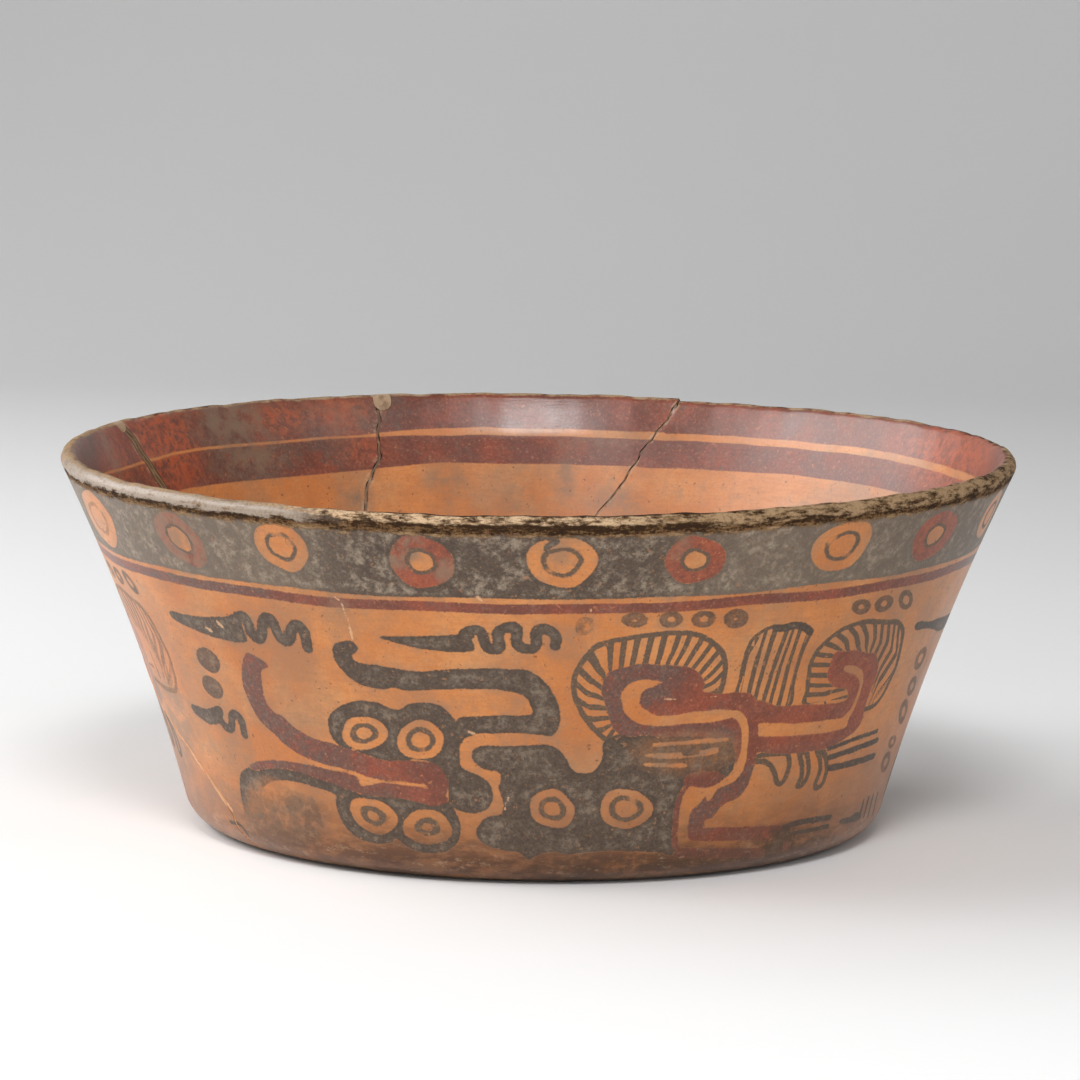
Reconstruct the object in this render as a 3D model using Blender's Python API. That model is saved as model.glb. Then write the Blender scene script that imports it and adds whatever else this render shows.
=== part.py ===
"""A hand-built flaring pottery bowl that was broken long ago and put together again.

Four sherds of fired clay meet along narrow break joints. Each joint holds a thin film of restorer's
glue, and two chips in the lip, where joints reach the rim, are plugged with putty. Metres, +Z up.
The origin is the middle of the underside. Azimuth 0 faces -Y and grows towards +X.
"""

from math import atan, atan2, ceil, cos, pi, radians, sin

import bmesh
import bpy
from mathutils import Matrix, Vector

# Driving dimensions of the clay
RIM_RADIUS = 0.130
HEIGHT = 0.1029
BASE_RADIUS = 0.0941  # where the outer wall would meet the ground if the foot were sharp
WALL_BOW = 0.0025  # how far the outer wall hollows inwards from a straight cone
FOOT_ROUND = 0.0105
INNER_ROUND = 0.015  # where the inside turns from the floor into the wall
WALL = 0.0062  # at the foot
LIP = 0.0046  # at the rim
FLOOR = 0.0070

# Unevenness of the rim: it rises towards one side, and it is a little saddle-shaped
RIM_RISE = 0.0027
RIM_RISE_AZIMUTH = radians(164)
RIM_SADDLE = 0.00055
RIM_SADDLE_AZIMUTH = radians(60)

# Break joints between the sherds
JOINT = 0.0012
CLEARANCE = 0.0003  # between clay and glue, and between clay and putty
GLUE_RECESS = 0.0005  # how far the glue stays below the clay's skin
GLUE_END_GAP = 0.0030  # how far the glue stops short of where breaks meet
CUT_OVERSHOOT = 0.0015

# Putty plugs in the lip
PUTTY_LEFT_WIDTH = 0.0048
PUTTY_LEFT_DEPTH = 0.0046
PUTTY_BACK_WIDTH = 0.0056
PUTTY_BACK_DEPTH = 0.0056

# Fineness of the faceted surface
TURN_STEPS = 72
FOOT_STEPS = 5
WALL_STEPS = 6
LIP_STEPS = 6
PLUG_STEPS = 8
ZONE_STEPS = 10  # along a break that runs over a whole zone, see skin()
TURN_STEP = 6.0  # degrees, at most, along a break
SMOOTH_ANGLE = radians(35)

# Colours and roughness, as the clay, glue and putty show them
CLAY = ((0.47, 0.22, 0.11), 0.5)
GLUE = ((0.42, 0.30, 0.18), 0.4)
PUTTY = ((0.66, 0.48, 0.31), 0.8)


# The outline: a flat underside, a round foot and a wall that hollows as it rises to a round lip

LIP_SLOPE = atan((RIM_RADIUS - BASE_RADIUS + 4 * WALL_BOW) / HEIGHT)
LIP_ACROSS = Vector((cos(LIP_SLOPE), -sin(LIP_SLOPE)))  # outwards through the lip
LIP_UP = Vector((sin(LIP_SLOPE), cos(LIP_SLOPE)))
LIP_MIDDLE = Vector((RIM_RADIUS - LIP / 2, HEIGHT - LIP / 2))
WALL_TOP = LIP_MIDDLE + LIP / 2 * LIP_ACROSS


def wall_radius(z):
    """Outer radius of the wall at height z."""
    share = z / WALL_TOP.y
    return BASE_RADIUS + (WALL_TOP.x - BASE_RADIUS) * share - 4 * WALL_BOW * share * (1 - share)


def wall_slope(z):
    """Angle of the outer wall from the vertical at height z."""
    share = z / WALL_TOP.y
    return atan((WALL_TOP.x - BASE_RADIUS - 4 * WALL_BOW * (1 - 2 * share)) / WALL_TOP.y)


def wall_normal(z):
    """Inward normal of the outer wall at height z."""
    return Vector((-cos(wall_slope(z)), sin(wall_slope(z))))


def outer_wall(z):
    """Point of the outer skin at height z, as (radius, height)."""
    return Vector((wall_radius(z), z))


def inner_wall(z):
    """Point of the inner skin straight through the wall from height z on the outside."""
    thickness = WALL + (LIP - WALL) * z / WALL_TOP.y
    return outer_wall(z) + thickness * wall_normal(z)


def arc_end(wall, radius, ground):
    """Height on the wall at which an arc of this radius, rising from the ground, runs into it."""
    z = 0
    for _ in range(8):
        z += ground + radius * (1 - wall_normal(z).y) - wall(z).y
    return z


OUTSIDE = (outer_wall, arc_end(outer_wall, FOOT_ROUND, 0), FOOT_ROUND, 0)
INSIDE = (inner_wall, arc_end(inner_wall, INNER_ROUND, FLOOR), INNER_ROUND, FLOOR)


def skin(place, wall, start, radius, ground):
    """Point of one skin, as (radius, height).

    A place runs from 0 to 1 over the floor, from 1 to 2 round the foot and from 2 to 3 up the wall.
    """
    centre = wall(start) + radius * wall_normal(start)
    if place <= 1:
        return Vector((place * centre.x, ground))
    if place <= 2:
        turn = (place - 1) * (pi / 2 - wall_slope(start))
        return centre + radius * Vector((sin(turn), -cos(turn)))
    return wall(start + (place - 2) * (WALL_TOP.y - start))


def through(place):
    """The outer point at a place, the direction through the clay from there, and its thickness."""
    outer = skin(place, *OUTSIDE)
    across = skin(place, *INSIDE) - outer
    return outer, across.normalized(), across.length


def rim_lift(azimuth):
    """How far the rim stands above its mean height at this azimuth."""
    rise = RIM_RISE * cos(azimuth - RIM_RISE_AZIMUTH)
    return rise + RIM_SADDLE * cos(2 * (azimuth - RIM_SADDLE_AZIMUTH))


def warped(point):
    """A point of the evenly turned shape, carried up or down with the uneven rim."""
    lift = rim_lift(atan2(point.x, -point.y))
    return Vector((point.x, point.y, point.z * (1 + lift / HEIGHT)))


def in_space(azimuth, outline_point):
    """A point of the outline, turned to this azimuth."""
    radius, z = outline_point
    return Vector((radius * sin(azimuth), -radius * cos(azimuth), z))


def surface(azimuth, place, depth):
    """The point at this azimuth and place that lies depth inside the outer skin."""
    outer, direction, _ = through(place)
    return warped(in_space(azimuth, outer + depth * direction))


# The breaks, as (azimuth in degrees, place on the outline)

ABOVE_RIM = 3.08
MEETING = (-150.0, 0.55)  # where the blow fell: all breaks run to it
BRANCH = (-115.4, 2.74)  # where the front left break leaves the left one

LEFT_UPPER_BREAK = [(-110.1, 3.0), (-111.3, 2.963), (-112.4, 2.897), (-113.8, 2.827), BRANCH]
LEFT_LOWER_BREAK = [
    BRANCH, (-119.0, 2.55), (-122.0, 2.3), (-127.0, 2.0), (-130.0, 1.0), (-137.0, 0.8), MEETING,
]
BACK_LEFT_BREAK = [
    (-157.1, 3.0), (-157.1, 2.932), (-156.4, 2.872), (-156.5, 2.815), (-155.0, 2.76), (-153.8, 2.721),
    (-152.9, 2.649), (-151.5, 2.5), (-149.6, 2.25), (-148.4, 2.0), (-147.6, 1.0), (-149.0, 0.8), MEETING,
]
BACK_RIGHT_BREAK = [
    (-199.0, 3.0), (-197.5, 2.925), (-195.3, 2.852), (-193.7, 2.776), (-191.7, 2.694), (-189.2, 2.625),
    (-186.0, 2.5), (-181.0, 2.3), (-176.0, 2.05), (-172.5, 1.0), (-166.0, 0.78), MEETING,
]
FRONT_LEFT_BREAK = [
    BRANCH, (-98.0, 2.56), (-80.0, 2.36), (-71.0, 2.25), (-65.0, 2.195), (-61.3, 2.145), (-57.9, 2.088),
    (-55.2, 2.03), (-52.0, 1.45), (-50.0, 1.0), (-60.0, 0.86), (-85.0, 0.72), (-118.0, 0.6), MEETING,
]

PUTTY_LEFT_AZIMUTH = radians(-109.9)
PUTTY_BACK_AZIMUTH = radians(-156.7)

# A place well inside each sherd, which tells the cut pieces apart
SHERDS = {
    "main_sherd": (20.0, 2.5),
    "left_sherd": (-95.0, 2.3),
    "back_left_sherd": (-136.0, 2.6),
    "back_sherd": (-176.0, 2.8),
}


def stepped(path):
    """The path in radians, with small even steps between its own points."""
    fine = [(radians(path[0][0]), path[0][1])]
    for (azimuth, place), (next_azimuth, next_place) in zip(path, path[1:]):
        turns = abs(next_azimuth - azimuth) / TURN_STEP
        zones = abs(next_place - place) * ZONE_STEPS
        count = max(1, ceil(turns), ceil(zones))
        for step in range(1, count + 1):
            share = step / count
            turned = azimuth + (next_azimuth - azimuth) * share
            fine.append((radians(turned), place + (next_place - place) * share))
    return fine


def shortened(path, length):
    """The stepped path without its first stretch of this length, measured on the outer skin."""
    rest = list(path)
    while True:
        step = (surface(*rest[1], 0) - surface(*rest[0], 0)).length
        if step > length:
            share = length / step
            first = [a + (b - a) * share for a, b in zip(rest[0], rest[1])]
            return [tuple(first)] + rest[1:]
        length -= step
        rest.pop(0)


# Making meshes

def add_object(name, bm):
    """Puts a finished bmesh into the scene under this name."""
    mesh = bpy.data.meshes.new(name)
    bm.to_mesh(mesh)
    bm.free()
    obj = bpy.data.objects.new(name, mesh)
    bpy.context.scene.collection.objects.link(obj)
    return obj


def as_cutter(obj):
    """Marks an object that only shapes others."""
    obj.hide_render = True
    obj.display_type = "WIRE"
    return obj


def cut(obj, cutter, operation="DIFFERENCE"):
    """Adds a Boolean modifier. The exact solver loses whole sherds where thin breaks meet."""
    boolean = obj.modifiers.new(cutter.name, "BOOLEAN")
    boolean.object = cutter
    boolean.operation = operation
    boolean.solver = "MANIFOLD"


def turned_bowl():
    """The whole bowl before it broke: its outline spun round the axis, with the uneven rim."""
    zones = [0.0, 1.0]
    zones += [1 + step / FOOT_STEPS for step in range(1, FOOT_STEPS + 1)]
    zones += [2 + step / WALL_STEPS for step in range(1, WALL_STEPS + 1)]
    outside = [skin(place, *OUTSIDE) for place in zones]
    inside = [skin(place, *INSIDE) for place in zones]
    lip = []
    for step in range(1, LIP_STEPS):
        turn = pi * step / LIP_STEPS
        lip.append(LIP_MIDDLE + LIP / 2 * (cos(turn) * LIP_ACROSS + sin(turn) * LIP_UP))

    bm = bmesh.new()
    outline = [bm.verts.new(in_space(0, point)) for point in outside + lip + inside[::-1]]
    edges = [bm.edges.new(pair) for pair in zip(outline, outline[1:])]
    bmesh.ops.spin(
        bm, geom=outline + edges, axis=(0, 0, 1), cent=(0, 0, 0), angle=2 * pi,
        steps=TURN_STEPS, use_merge=True,
    )
    bmesh.ops.remove_doubles(bm, verts=bm.verts, dist=1e-6)
    for vert in bm.verts:
        vert.co = warped(vert.co)
    bmesh.ops.recalc_face_normals(bm, faces=bm.faces)
    return bm


def ribbon(name, path, outer_depth, inner_depth, width):
    """A strip that follows a break right through the wall, thickened to this width.

    Its outer edge lies outer_depth inside the outer skin, and its inner edge inner_depth inside the
    inner skin.
    """
    bm = bmesh.new()
    columns = len(path) - 1
    bmesh.ops.create_grid(bm, x_segments=columns, y_segments=1, size=1)
    for vert in bm.verts:
        azimuth, place = path[round((vert.co.x + 1) / 2 * columns)]
        thickness = through(place)[2]
        depth = outer_depth if vert.co.y < 0 else thickness - inner_depth
        vert.co = surface(azimuth, place, depth)
    strip = add_object(name, bm)
    solidify = strip.modifiers.new("joint width", "SOLIDIFY")
    solidify.thickness = width
    solidify.offset = 0
    solidify.use_even_offset = True
    return strip


def break_cutter(name, path):
    """A cutter as wide as the joint, which passes through both skins."""
    return as_cutter(ribbon(name, stepped(path), -CUT_OVERSHOOT, -CUT_OVERSHOOT, JOINT))


def glue_film(name, path, start_gap, end_gap):
    """The film of glue in a joint, with clay clear of it on both sides."""
    film = shortened(stepped(path), start_gap)
    film = shortened(film[::-1], end_gap)
    return ribbon(name, film, GLUE_RECESS, GLUE_RECESS, JOINT - 2 * CLEARANCE)


def plug_cutter(name, azimuth, width, depth, clearance):
    """A U-shaped prism set across the lip: open above, round below."""
    half = width / 2 + clearance
    top = LIP
    bottom = LIP / 2 - depth - clearance + half
    outline = [(half, top), (-half, top)]
    for step in range(PLUG_STEPS + 1):
        turn = pi + pi * step / PLUG_STEPS
        outline.append((half * cos(turn), bottom + half * sin(turn)))

    across = in_space(azimuth, LIP_ACROSS)
    up = in_space(azimuth, LIP_UP)
    frame = Matrix((up.cross(across), up, across)).transposed().to_4x4()
    frame.translation = warped(in_space(azimuth, LIP_MIDDLE))
    bm = bmesh.new()
    face = bm.faces.new([bm.verts.new((x, y, -LIP)) for x, y in outline])
    grown = bmesh.ops.extrude_face_region(bm, geom=[face])["geom"]
    moved = [item for item in grown if isinstance(item, bmesh.types.BMVert)]
    bmesh.ops.translate(bm, verts=moved, vec=(0, 0, 2 * LIP))
    bmesh.ops.recalc_face_normals(bm, faces=bm.faces)
    bm.transform(frame)
    return as_cutter(add_object(name, bm))


def separate_bodies(bm):
    """The vertices of each separate body in a mesh."""
    bodies = []
    seen = set()
    for seed in bm.verts:
        if seed in seen:
            continue
        seen.add(seed)
        body = [seed]
        for vert in body:
            for edge in vert.link_edges:
                other = edge.other_vert(vert)
                if other not in seen:
                    seen.add(other)
                    body.append(other)
        bodies.append(body)
    return bodies


def broken_sherds(bowl):
    """The sherds of the cut bowl, each as an object of its own."""
    sherds = []
    for name, (azimuth, place) in SHERDS.items():
        middle = surface(radians(azimuth), place, 0)
        bm = bmesh.new()
        bm.from_object(bowl, bpy.context.evaluated_depsgraph_get())
        bodies = separate_bodies(bm)
        distances = [min((vert.co - middle).length for vert in body) for body in bodies]
        kept = set(bodies[distances.index(min(distances))])
        bmesh.ops.delete(bm, geom=[vert for vert in bm.verts if vert not in kept], context="VERTS")
        sherds.append(add_object(name, bm))
    return sherds


def coloured(objects, name, looks):
    """Gives objects one material, smooth faces and sharp edges."""
    colour, roughness = looks
    material = bpy.data.materials.new(name)
    material.use_nodes = True
    shader = material.node_tree.nodes["Principled BSDF"]
    shader.inputs["Base Color"].default_value = (*colour, 1)
    shader.inputs["Roughness"].default_value = roughness
    shader.inputs["Metallic"].default_value = 0
    for obj in objects:
        obj.data.materials.clear()
        obj.data.materials.append(material)
        obj.data.shade_smooth()
        obj.data.set_sharp_from_angle(angle=SMOOTH_ANGLE)


# The bowl

for old in list(bpy.data.objects):
    bpy.data.objects.remove(old)

bowl = as_cutter(add_object("whole_bowl", turned_bowl()))
above_left = (LEFT_UPPER_BREAK[0][0], ABOVE_RIM)
above_back_left = (BACK_LEFT_BREAK[0][0], ABOVE_RIM)
above_back_right = (BACK_RIGHT_BREAK[0][0], ABOVE_RIM)
putty_left = (PUTTY_LEFT_AZIMUTH, PUTTY_LEFT_WIDTH, PUTTY_LEFT_DEPTH)
putty_back = (PUTTY_BACK_AZIMUTH, PUTTY_BACK_WIDTH, PUTTY_BACK_DEPTH)

# Putty plugs: what each fills of the unbroken lip
plugs = []
for plug_name, plug_sizes in (("putty_rim_left", putty_left), ("putty_rim_back", putty_back)):
    plug = add_object(plug_name, turned_bowl())
    cut(plug, plug_cutter(plug_name + "_shape", *plug_sizes, 0), "INTERSECT")
    plugs.append(plug)

# Sherds: the bowl without its joints and the seats of the plugs
main_break = [above_left] + LEFT_UPPER_BREAK + LEFT_LOWER_BREAK[1:]
main_break += BACK_RIGHT_BREAK[-2::-1] + [above_back_right]
cut(bowl, break_cutter("main_break", main_break))
cut(bowl, break_cutter("back_left_break", [above_back_left] + BACK_LEFT_BREAK))
cut(bowl, break_cutter("front_left_break", FRONT_LEFT_BREAK))
cut(bowl, plug_cutter("putty_left_seat", *putty_left, CLEARANCE))
cut(bowl, plug_cutter("putty_back_seat", *putty_back, CLEARANCE))
sherds = broken_sherds(bowl)

# Glue films: under a plug they start below it, and elsewhere just below the middle of the lip
below_left_plug = PUTTY_LEFT_DEPTH - LIP / 2 + 2 * CLEARANCE
below_back_plug = PUTTY_BACK_DEPTH - LIP / 2 + 2 * CLEARANCE
films = [
    glue_film("glue_left_upper", LEFT_UPPER_BREAK, below_left_plug, GLUE_END_GAP),
    glue_film("glue_left_lower", LEFT_LOWER_BREAK, GLUE_END_GAP, GLUE_END_GAP),
    glue_film("glue_back_left", BACK_LEFT_BREAK, below_back_plug, GLUE_END_GAP),
    glue_film("glue_back_right", BACK_RIGHT_BREAK, GLUE_RECESS, GLUE_END_GAP),
    glue_film("glue_front_left", FRONT_LEFT_BREAK, GLUE_END_GAP, GLUE_END_GAP),
]

coloured(sherds, "slip_painted_clay", CLAY)
coloured(films, "restorers_glue", GLUE)
coloured(plugs, "putty", PUTTY)

assembly = bpy.data.objects.new("pottery_bowl", None)
bpy.context.scene.collection.objects.link(assembly)
for piece in sherds + films + plugs:
    piece.parent = assembly
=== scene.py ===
from math import atan, cos, pi, radians, sin

import bmesh
import bpy
import numpy as np
from mathutils import Matrix, Vector


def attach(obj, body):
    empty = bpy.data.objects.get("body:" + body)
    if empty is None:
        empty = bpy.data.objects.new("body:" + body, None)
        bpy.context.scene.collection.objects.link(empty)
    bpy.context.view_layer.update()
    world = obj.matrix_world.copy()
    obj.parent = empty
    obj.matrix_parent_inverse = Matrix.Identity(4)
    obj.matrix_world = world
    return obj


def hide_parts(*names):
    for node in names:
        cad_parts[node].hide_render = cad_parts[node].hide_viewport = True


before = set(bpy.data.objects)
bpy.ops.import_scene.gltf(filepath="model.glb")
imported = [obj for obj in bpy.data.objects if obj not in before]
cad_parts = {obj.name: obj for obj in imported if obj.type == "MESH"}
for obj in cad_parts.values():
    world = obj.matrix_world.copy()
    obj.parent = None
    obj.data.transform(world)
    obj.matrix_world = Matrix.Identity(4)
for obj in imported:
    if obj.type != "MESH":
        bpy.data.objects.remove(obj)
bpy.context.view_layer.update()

# The view. The bowl was photographed with a long lens from a little above the rim, and the camera was
# tipped slightly to one side. The painting on the wall is laid out through this same view.

IMAGE = 1080  # pixels, both ways
LENS = 157.3  # mm
SENSOR = 36.0  # mm
EYE_DISTANCE = 1.300
LOOK_HEIGHT = 0.0511
ELEVATION = radians(8.585)
AIM_UP = radians(1.152)  # the bowl stands below the middle of the picture
AIM_RIGHT = radians(0.027)
TILT = radians(0.87)

eye = Vector((0, -EYE_DISTANCE * cos(ELEVATION), LOOK_HEIGHT + EYE_DISTANCE * sin(ELEVATION)))
aim = Matrix.Rotation(-AIM_RIGHT, 3, "Z") @ Matrix.Rotation(pi / 2 - ELEVATION + AIM_UP, 3, "X")
aim = aim @ Matrix.Rotation(TILT, 3, "Z")

camera = bpy.data.objects.new("photo_camera", bpy.data.cameras.new("photo_camera"))
camera.data.lens = LENS
camera.data.sensor_width = SENSOR
camera.matrix_world = Matrix.Translation(eye) @ aim.to_4x4()
bpy.context.scene.collection.objects.link(camera)
bpy.context.scene.camera = camera


# The clay. A hand-built earthenware bowl, coated with slip, painted in black and red, burnished and
# fired. It is broken into four sherds, made here as one turned bowl, which is then cut along its breaks,
# painted and pushed out of true as a whole.

RIM_RADIUS = 0.130
HEIGHT = 0.1029
BASE_RADIUS = 0.0941  # where the outer wall would meet the ground if the foot were sharp
WALL_BOW = 0.0025  # how far the outer wall hollows inwards from a straight cone
FOOT_ROUND = 0.0105
INNER_ROUND = 0.015
WALL = 0.0062  # thickness at the foot
LIP = 0.0046  # thickness at the rim
FLOOR = 0.0070
RIM_RISE = 0.0027  # the rim rises towards one side
RIM_RISE_AZIMUTH = radians(164)
RIM_SADDLE = 0.00055  # and is a little saddle-shaped
RIM_SADDLE_AZIMUTH = radians(60)

COLUMNS = 776  # round the bowl
UNDERSIDE_ROWS = 5
FOOT_ROWS = 10
WALL_ROWS = 112
LIP_ROWS = 10
INNER_ROWS = 22
INNER_ROUND_ROWS = 6
FLOOR_ROWS = 6

lip_slope = atan((RIM_RADIUS - BASE_RADIUS + 4 * WALL_BOW) / HEIGHT)
lip_across = np.array((cos(lip_slope), -sin(lip_slope)))  # outwards through the lip
lip_up = np.array((sin(lip_slope), cos(lip_slope)))
lip_middle = np.array((RIM_RADIUS - LIP / 2, HEIGHT - LIP / 2))
top_radius, top_height = lip_middle + LIP / 2 * lip_across


def wall_radius(z):
    """Outer radius of the wall at height z."""
    share = z / top_height
    return BASE_RADIUS + (top_radius - BASE_RADIUS) * share - 4 * WALL_BOW * share * (1 - share)


def wall_slope(z):
    """Angle of the outer wall from the vertical at height z."""
    share = z / top_height
    return np.arctan((top_radius - BASE_RADIUS - 4 * WALL_BOW * (1 - 2 * share)) / top_height)


def outer_wall(z):
    """Point of the outer skin at height z, as (radius, height)."""
    return np.stack((wall_radius(z), z), -1)


def inner_wall(z):
    """Point of the inner skin straight through the wall from height z on the outside."""
    thickness = WALL + (LIP - WALL) * z / top_height
    inwards = np.stack((-np.cos(wall_slope(z)), np.sin(wall_slope(z))), -1)
    return outer_wall(z) + thickness[..., None] * inwards


ARC_ROUNDS = 8  # enough for the arc to settle on the wall


def arc_end(wall, radius, ground):
    """Height on the wall at which an arc of this radius, rising from the ground, runs into it."""
    z = np.array(0.0)
    for _ in range(ARC_ROUNDS):
        z = z + ground + radius * (1 - np.sin(wall_slope(z))) - wall(z)[1]
    return z


def skin(places, wall, radius, ground):
    """Points of one skin, as (radius, height).

    A place runs from 0 to 1 over the floor, from 1 to 2 round the foot and from 2 to 3 up the wall.
    """
    places = np.asarray(places, float)[:, None]
    start = arc_end(wall, radius, ground)
    slope = wall_slope(start)
    centre = wall(start) + radius * np.array((-np.cos(slope), np.sin(slope)))
    turn = (places - 1) * (pi / 2 - slope)
    floor = np.concatenate((places * centre[0], 0 * places + ground), 1)
    foot = centre + radius * np.concatenate((np.sin(turn), -np.cos(turn)), 1)
    up = wall(start + (places[:, 0] - 2) * (top_height - start))
    return np.where(places <= 1, floor, np.where(places <= 2, foot, up))


def outside(places):
    return skin(places, outer_wall, FOOT_ROUND, 0)


def inside(places):
    return skin(places, inner_wall, INNER_ROUND, FLOOR)


def in_space(azimuth, radius, z):
    """Points at these azimuths, radii and heights. Azimuth 0 faces the camera and grows to the right."""
    return np.stack((radius * np.sin(azimuth), -radius * np.cos(azimuth), z + 0 * azimuth), -1)


def rim_lift(azimuth):
    """How far the rim stands above its mean height at this azimuth."""
    rise = RIM_RISE * np.cos(azimuth - RIM_RISE_AZIMUTH)
    return rise + RIM_SADDLE * np.cos(2 * (azimuth - RIM_SADDLE_AZIMUTH))


lip_turns = np.linspace(0, pi, LIP_ROWS + 1)[1:-1, None]
lip_arc = lip_middle + LIP / 2 * (np.cos(lip_turns) * lip_across + np.sin(lip_turns) * lip_up)
outer_outline = outside(np.concatenate((
    np.linspace(0, 1, UNDERSIDE_ROWS, endpoint=False),
    np.linspace(1, 2, FOOT_ROWS, endpoint=False),
    np.linspace(2, 3, WALL_ROWS + 1),
)))
inner_outline = inside(np.concatenate((
    np.linspace(3, 2, INNER_ROWS, endpoint=False),
    np.linspace(2, 1, INNER_ROUND_ROWS, endpoint=False),
    np.linspace(1, 0, FLOOR_ROWS + 1),
)))
outline = np.concatenate((outer_outline, lip_arc, inner_outline))


def add_object(name, bm):
    """Puts a finished bmesh into the scene under this name."""
    mesh = bpy.data.meshes.new(name)
    bm.to_mesh(mesh)
    bm.free()
    obj = bpy.data.objects.new(name, mesh)
    bpy.context.scene.collection.objects.link(obj)
    return obj


def turned_bowl(name):
    """The whole, even bowl: its outline turned round the axis."""
    bm = bmesh.new()
    points = [bm.verts.new(point) for point in in_space(np.zeros(len(outline)), *outline.T)]
    for pair in zip(points, points[1:]):
        bm.edges.new(pair)
    obj = add_object(name, bm)
    turning = obj.modifiers.new("turning", "SCREW")
    turning.axis = "Z"
    turning.angle = 2 * pi
    turning.steps = COLUMNS
    turning.render_steps = COLUMNS
    turning.use_merge_vertices = True
    turning.merge_threshold = 1e-6
    turning.use_normal_flip = True
    return obj


# The breaks, as (azimuth in degrees, place on the outline), and how wide each gapes
ABOVE_RIM = 3.08
MEETING = (-150.0, 0.55)  # where the blow fell: all breaks run to it
BRANCH = (-115.4, 2.74)
LEFT_UPPER_BREAK = [(-110.1, 3.0), (-111.3, 2.963), (-112.4, 2.897), (-113.8, 2.827), BRANCH]
LEFT_LOWER_BREAK = [
    BRANCH, (-119.0, 2.55), (-122.0, 2.3), (-127.0, 2.0), (-130.0, 1.0), (-137.0, 0.8), MEETING,
]
BACK_LEFT_BREAK = [
    (-157.1, 3.0), (-157.1, 2.932), (-156.4, 2.872), (-156.5, 2.815), (-155.0, 2.76), (-153.8, 2.721),
    (-152.9, 2.649), (-151.5, 2.5), (-149.6, 2.25), (-148.4, 2.0), (-147.6, 1.0), (-149.0, 0.8), MEETING,
]
BACK_RIGHT_BREAK = [
    (-199.0, 3.0), (-197.5, 2.925), (-195.3, 2.852), (-193.7, 2.776), (-191.7, 2.694), (-189.2, 2.625),
    (-186.0, 2.5), (-181.0, 2.3), (-176.0, 2.05), (-172.5, 1.0), (-166.0, 0.78), MEETING,
]
FRONT_LEFT_BREAK = [
    BRANCH, (-98.0, 2.56), (-80.0, 2.36), (-71.0, 2.25), (-65.0, 2.195), (-61.3, 2.145), (-57.9, 2.088),
    (-55.2, 2.03), (-52.0, 1.45), (-50.0, 1.0), (-60.0, 0.86), (-85.0, 0.72), (-118.0, 0.6), MEETING,
]
LEFT_GAP = 0.0012
BACK_LEFT_GAP = 0.0008
BACK_RIGHT_GAP = 0.0005
FRONT_LEFT_GAP = 0.0007
BREAK_STEP = 1.0  # degrees, at most, between the points of a break
BREAK_ZONE_STEPS = 40
BREAK_WANDER = radians(0.10)  # the small zigzag of a fracture
BREAK_WAVES = (1.7, 4.3)  # in radians a step
CUT_OVERSHOOT = 0.0015


def fractured(path):
    """The path in radians in small steps, with the fine zigzag of fired clay between its own points."""
    fine = []
    for start, end in zip(path, path[1:]):
        turn, rise = np.subtract(end, start)
        count = int(np.ceil(max(abs(turn) / BREAK_STEP, abs(rise) * BREAK_ZONE_STEPS, 1)))
        fine.extend(np.linspace(start, end, count, endpoint=False))
    fine = np.array(fine + [path[-1]])
    fine[:, 0] = np.radians(fine[:, 0])
    steps = np.arange(1, len(fine) - 1)
    fine[1:-1, 0] += BREAK_WANDER * sum(np.sin(wave * steps) for wave in BREAK_WAVES)
    return fine


def break_strip(name, path, widths, outer_depth, inner_depth):
    """A strip that follows a path right through the wall, thickened to the widths along the path."""
    azimuths, places = path.T
    outer = outside(places)
    across = inside(places) - outer
    thickness = np.linalg.norm(across, axis=1, keepdims=True)
    near = outer + across / thickness * outer_depth
    far = outer + across / thickness * (thickness - inner_depth)
    edges = (in_space(azimuths, *near.T), in_space(azimuths, *far.T))

    bm = bmesh.new()
    columns = len(path) - 1
    bmesh.ops.create_grid(bm, x_segments=columns, y_segments=1, size=1)
    weight = bm.verts.layers.deform.new()
    for vert in bm.verts:
        column = round((vert.co.x + 1) / 2 * columns)
        vert[weight][0] = widths[column] / max(widths)
        vert.co = edges[int(vert.co.y > 0)][column]
    strip = add_object(name, bm)
    strip.vertex_groups.new(name="width")
    solidify = strip.modifiers.new("gap", "SOLIDIFY")
    solidify.thickness = max(widths)
    solidify.offset = 0
    solidify.vertex_group = "width"
    return strip


def cut(obj, cutter, operation="DIFFERENCE"):
    boolean = obj.modifiers.new(cutter.name, "BOOLEAN")
    boolean.object = cutter
    boolean.operation = operation
    boolean.solver = "MANIFOLD"


def above(path):
    return (path[0][0], ABOVE_RIM)


left_break = fractured([above(LEFT_UPPER_BREAK)] + LEFT_UPPER_BREAK + LEFT_LOWER_BREAK[1:])
back_left_break = fractured([above(BACK_LEFT_BREAK)] + BACK_LEFT_BREAK)
back_right_break = fractured([above(BACK_RIGHT_BREAK)] + BACK_RIGHT_BREAK)
front_left_break = fractured(FRONT_LEFT_BREAK)
main_break = np.concatenate((left_break, back_right_break[-2::-1]))
main_gaps = [LEFT_GAP] * len(left_break) + [BACK_RIGHT_GAP] * (len(back_right_break) - 1)

bowl = turned_bowl("whole_bowl")
cutters = []
for name, path, gaps in (
    ("main_break", main_break, main_gaps),
    ("back_left_break", back_left_break, [BACK_LEFT_GAP] * len(back_left_break)),
    ("front_left_break", front_left_break, [FRONT_LEFT_GAP] * len(front_left_break)),
):
    cutters.append(break_strip(name, path, gaps, -CUT_OVERSHOOT, -CUT_OVERSHOOT))

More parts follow.
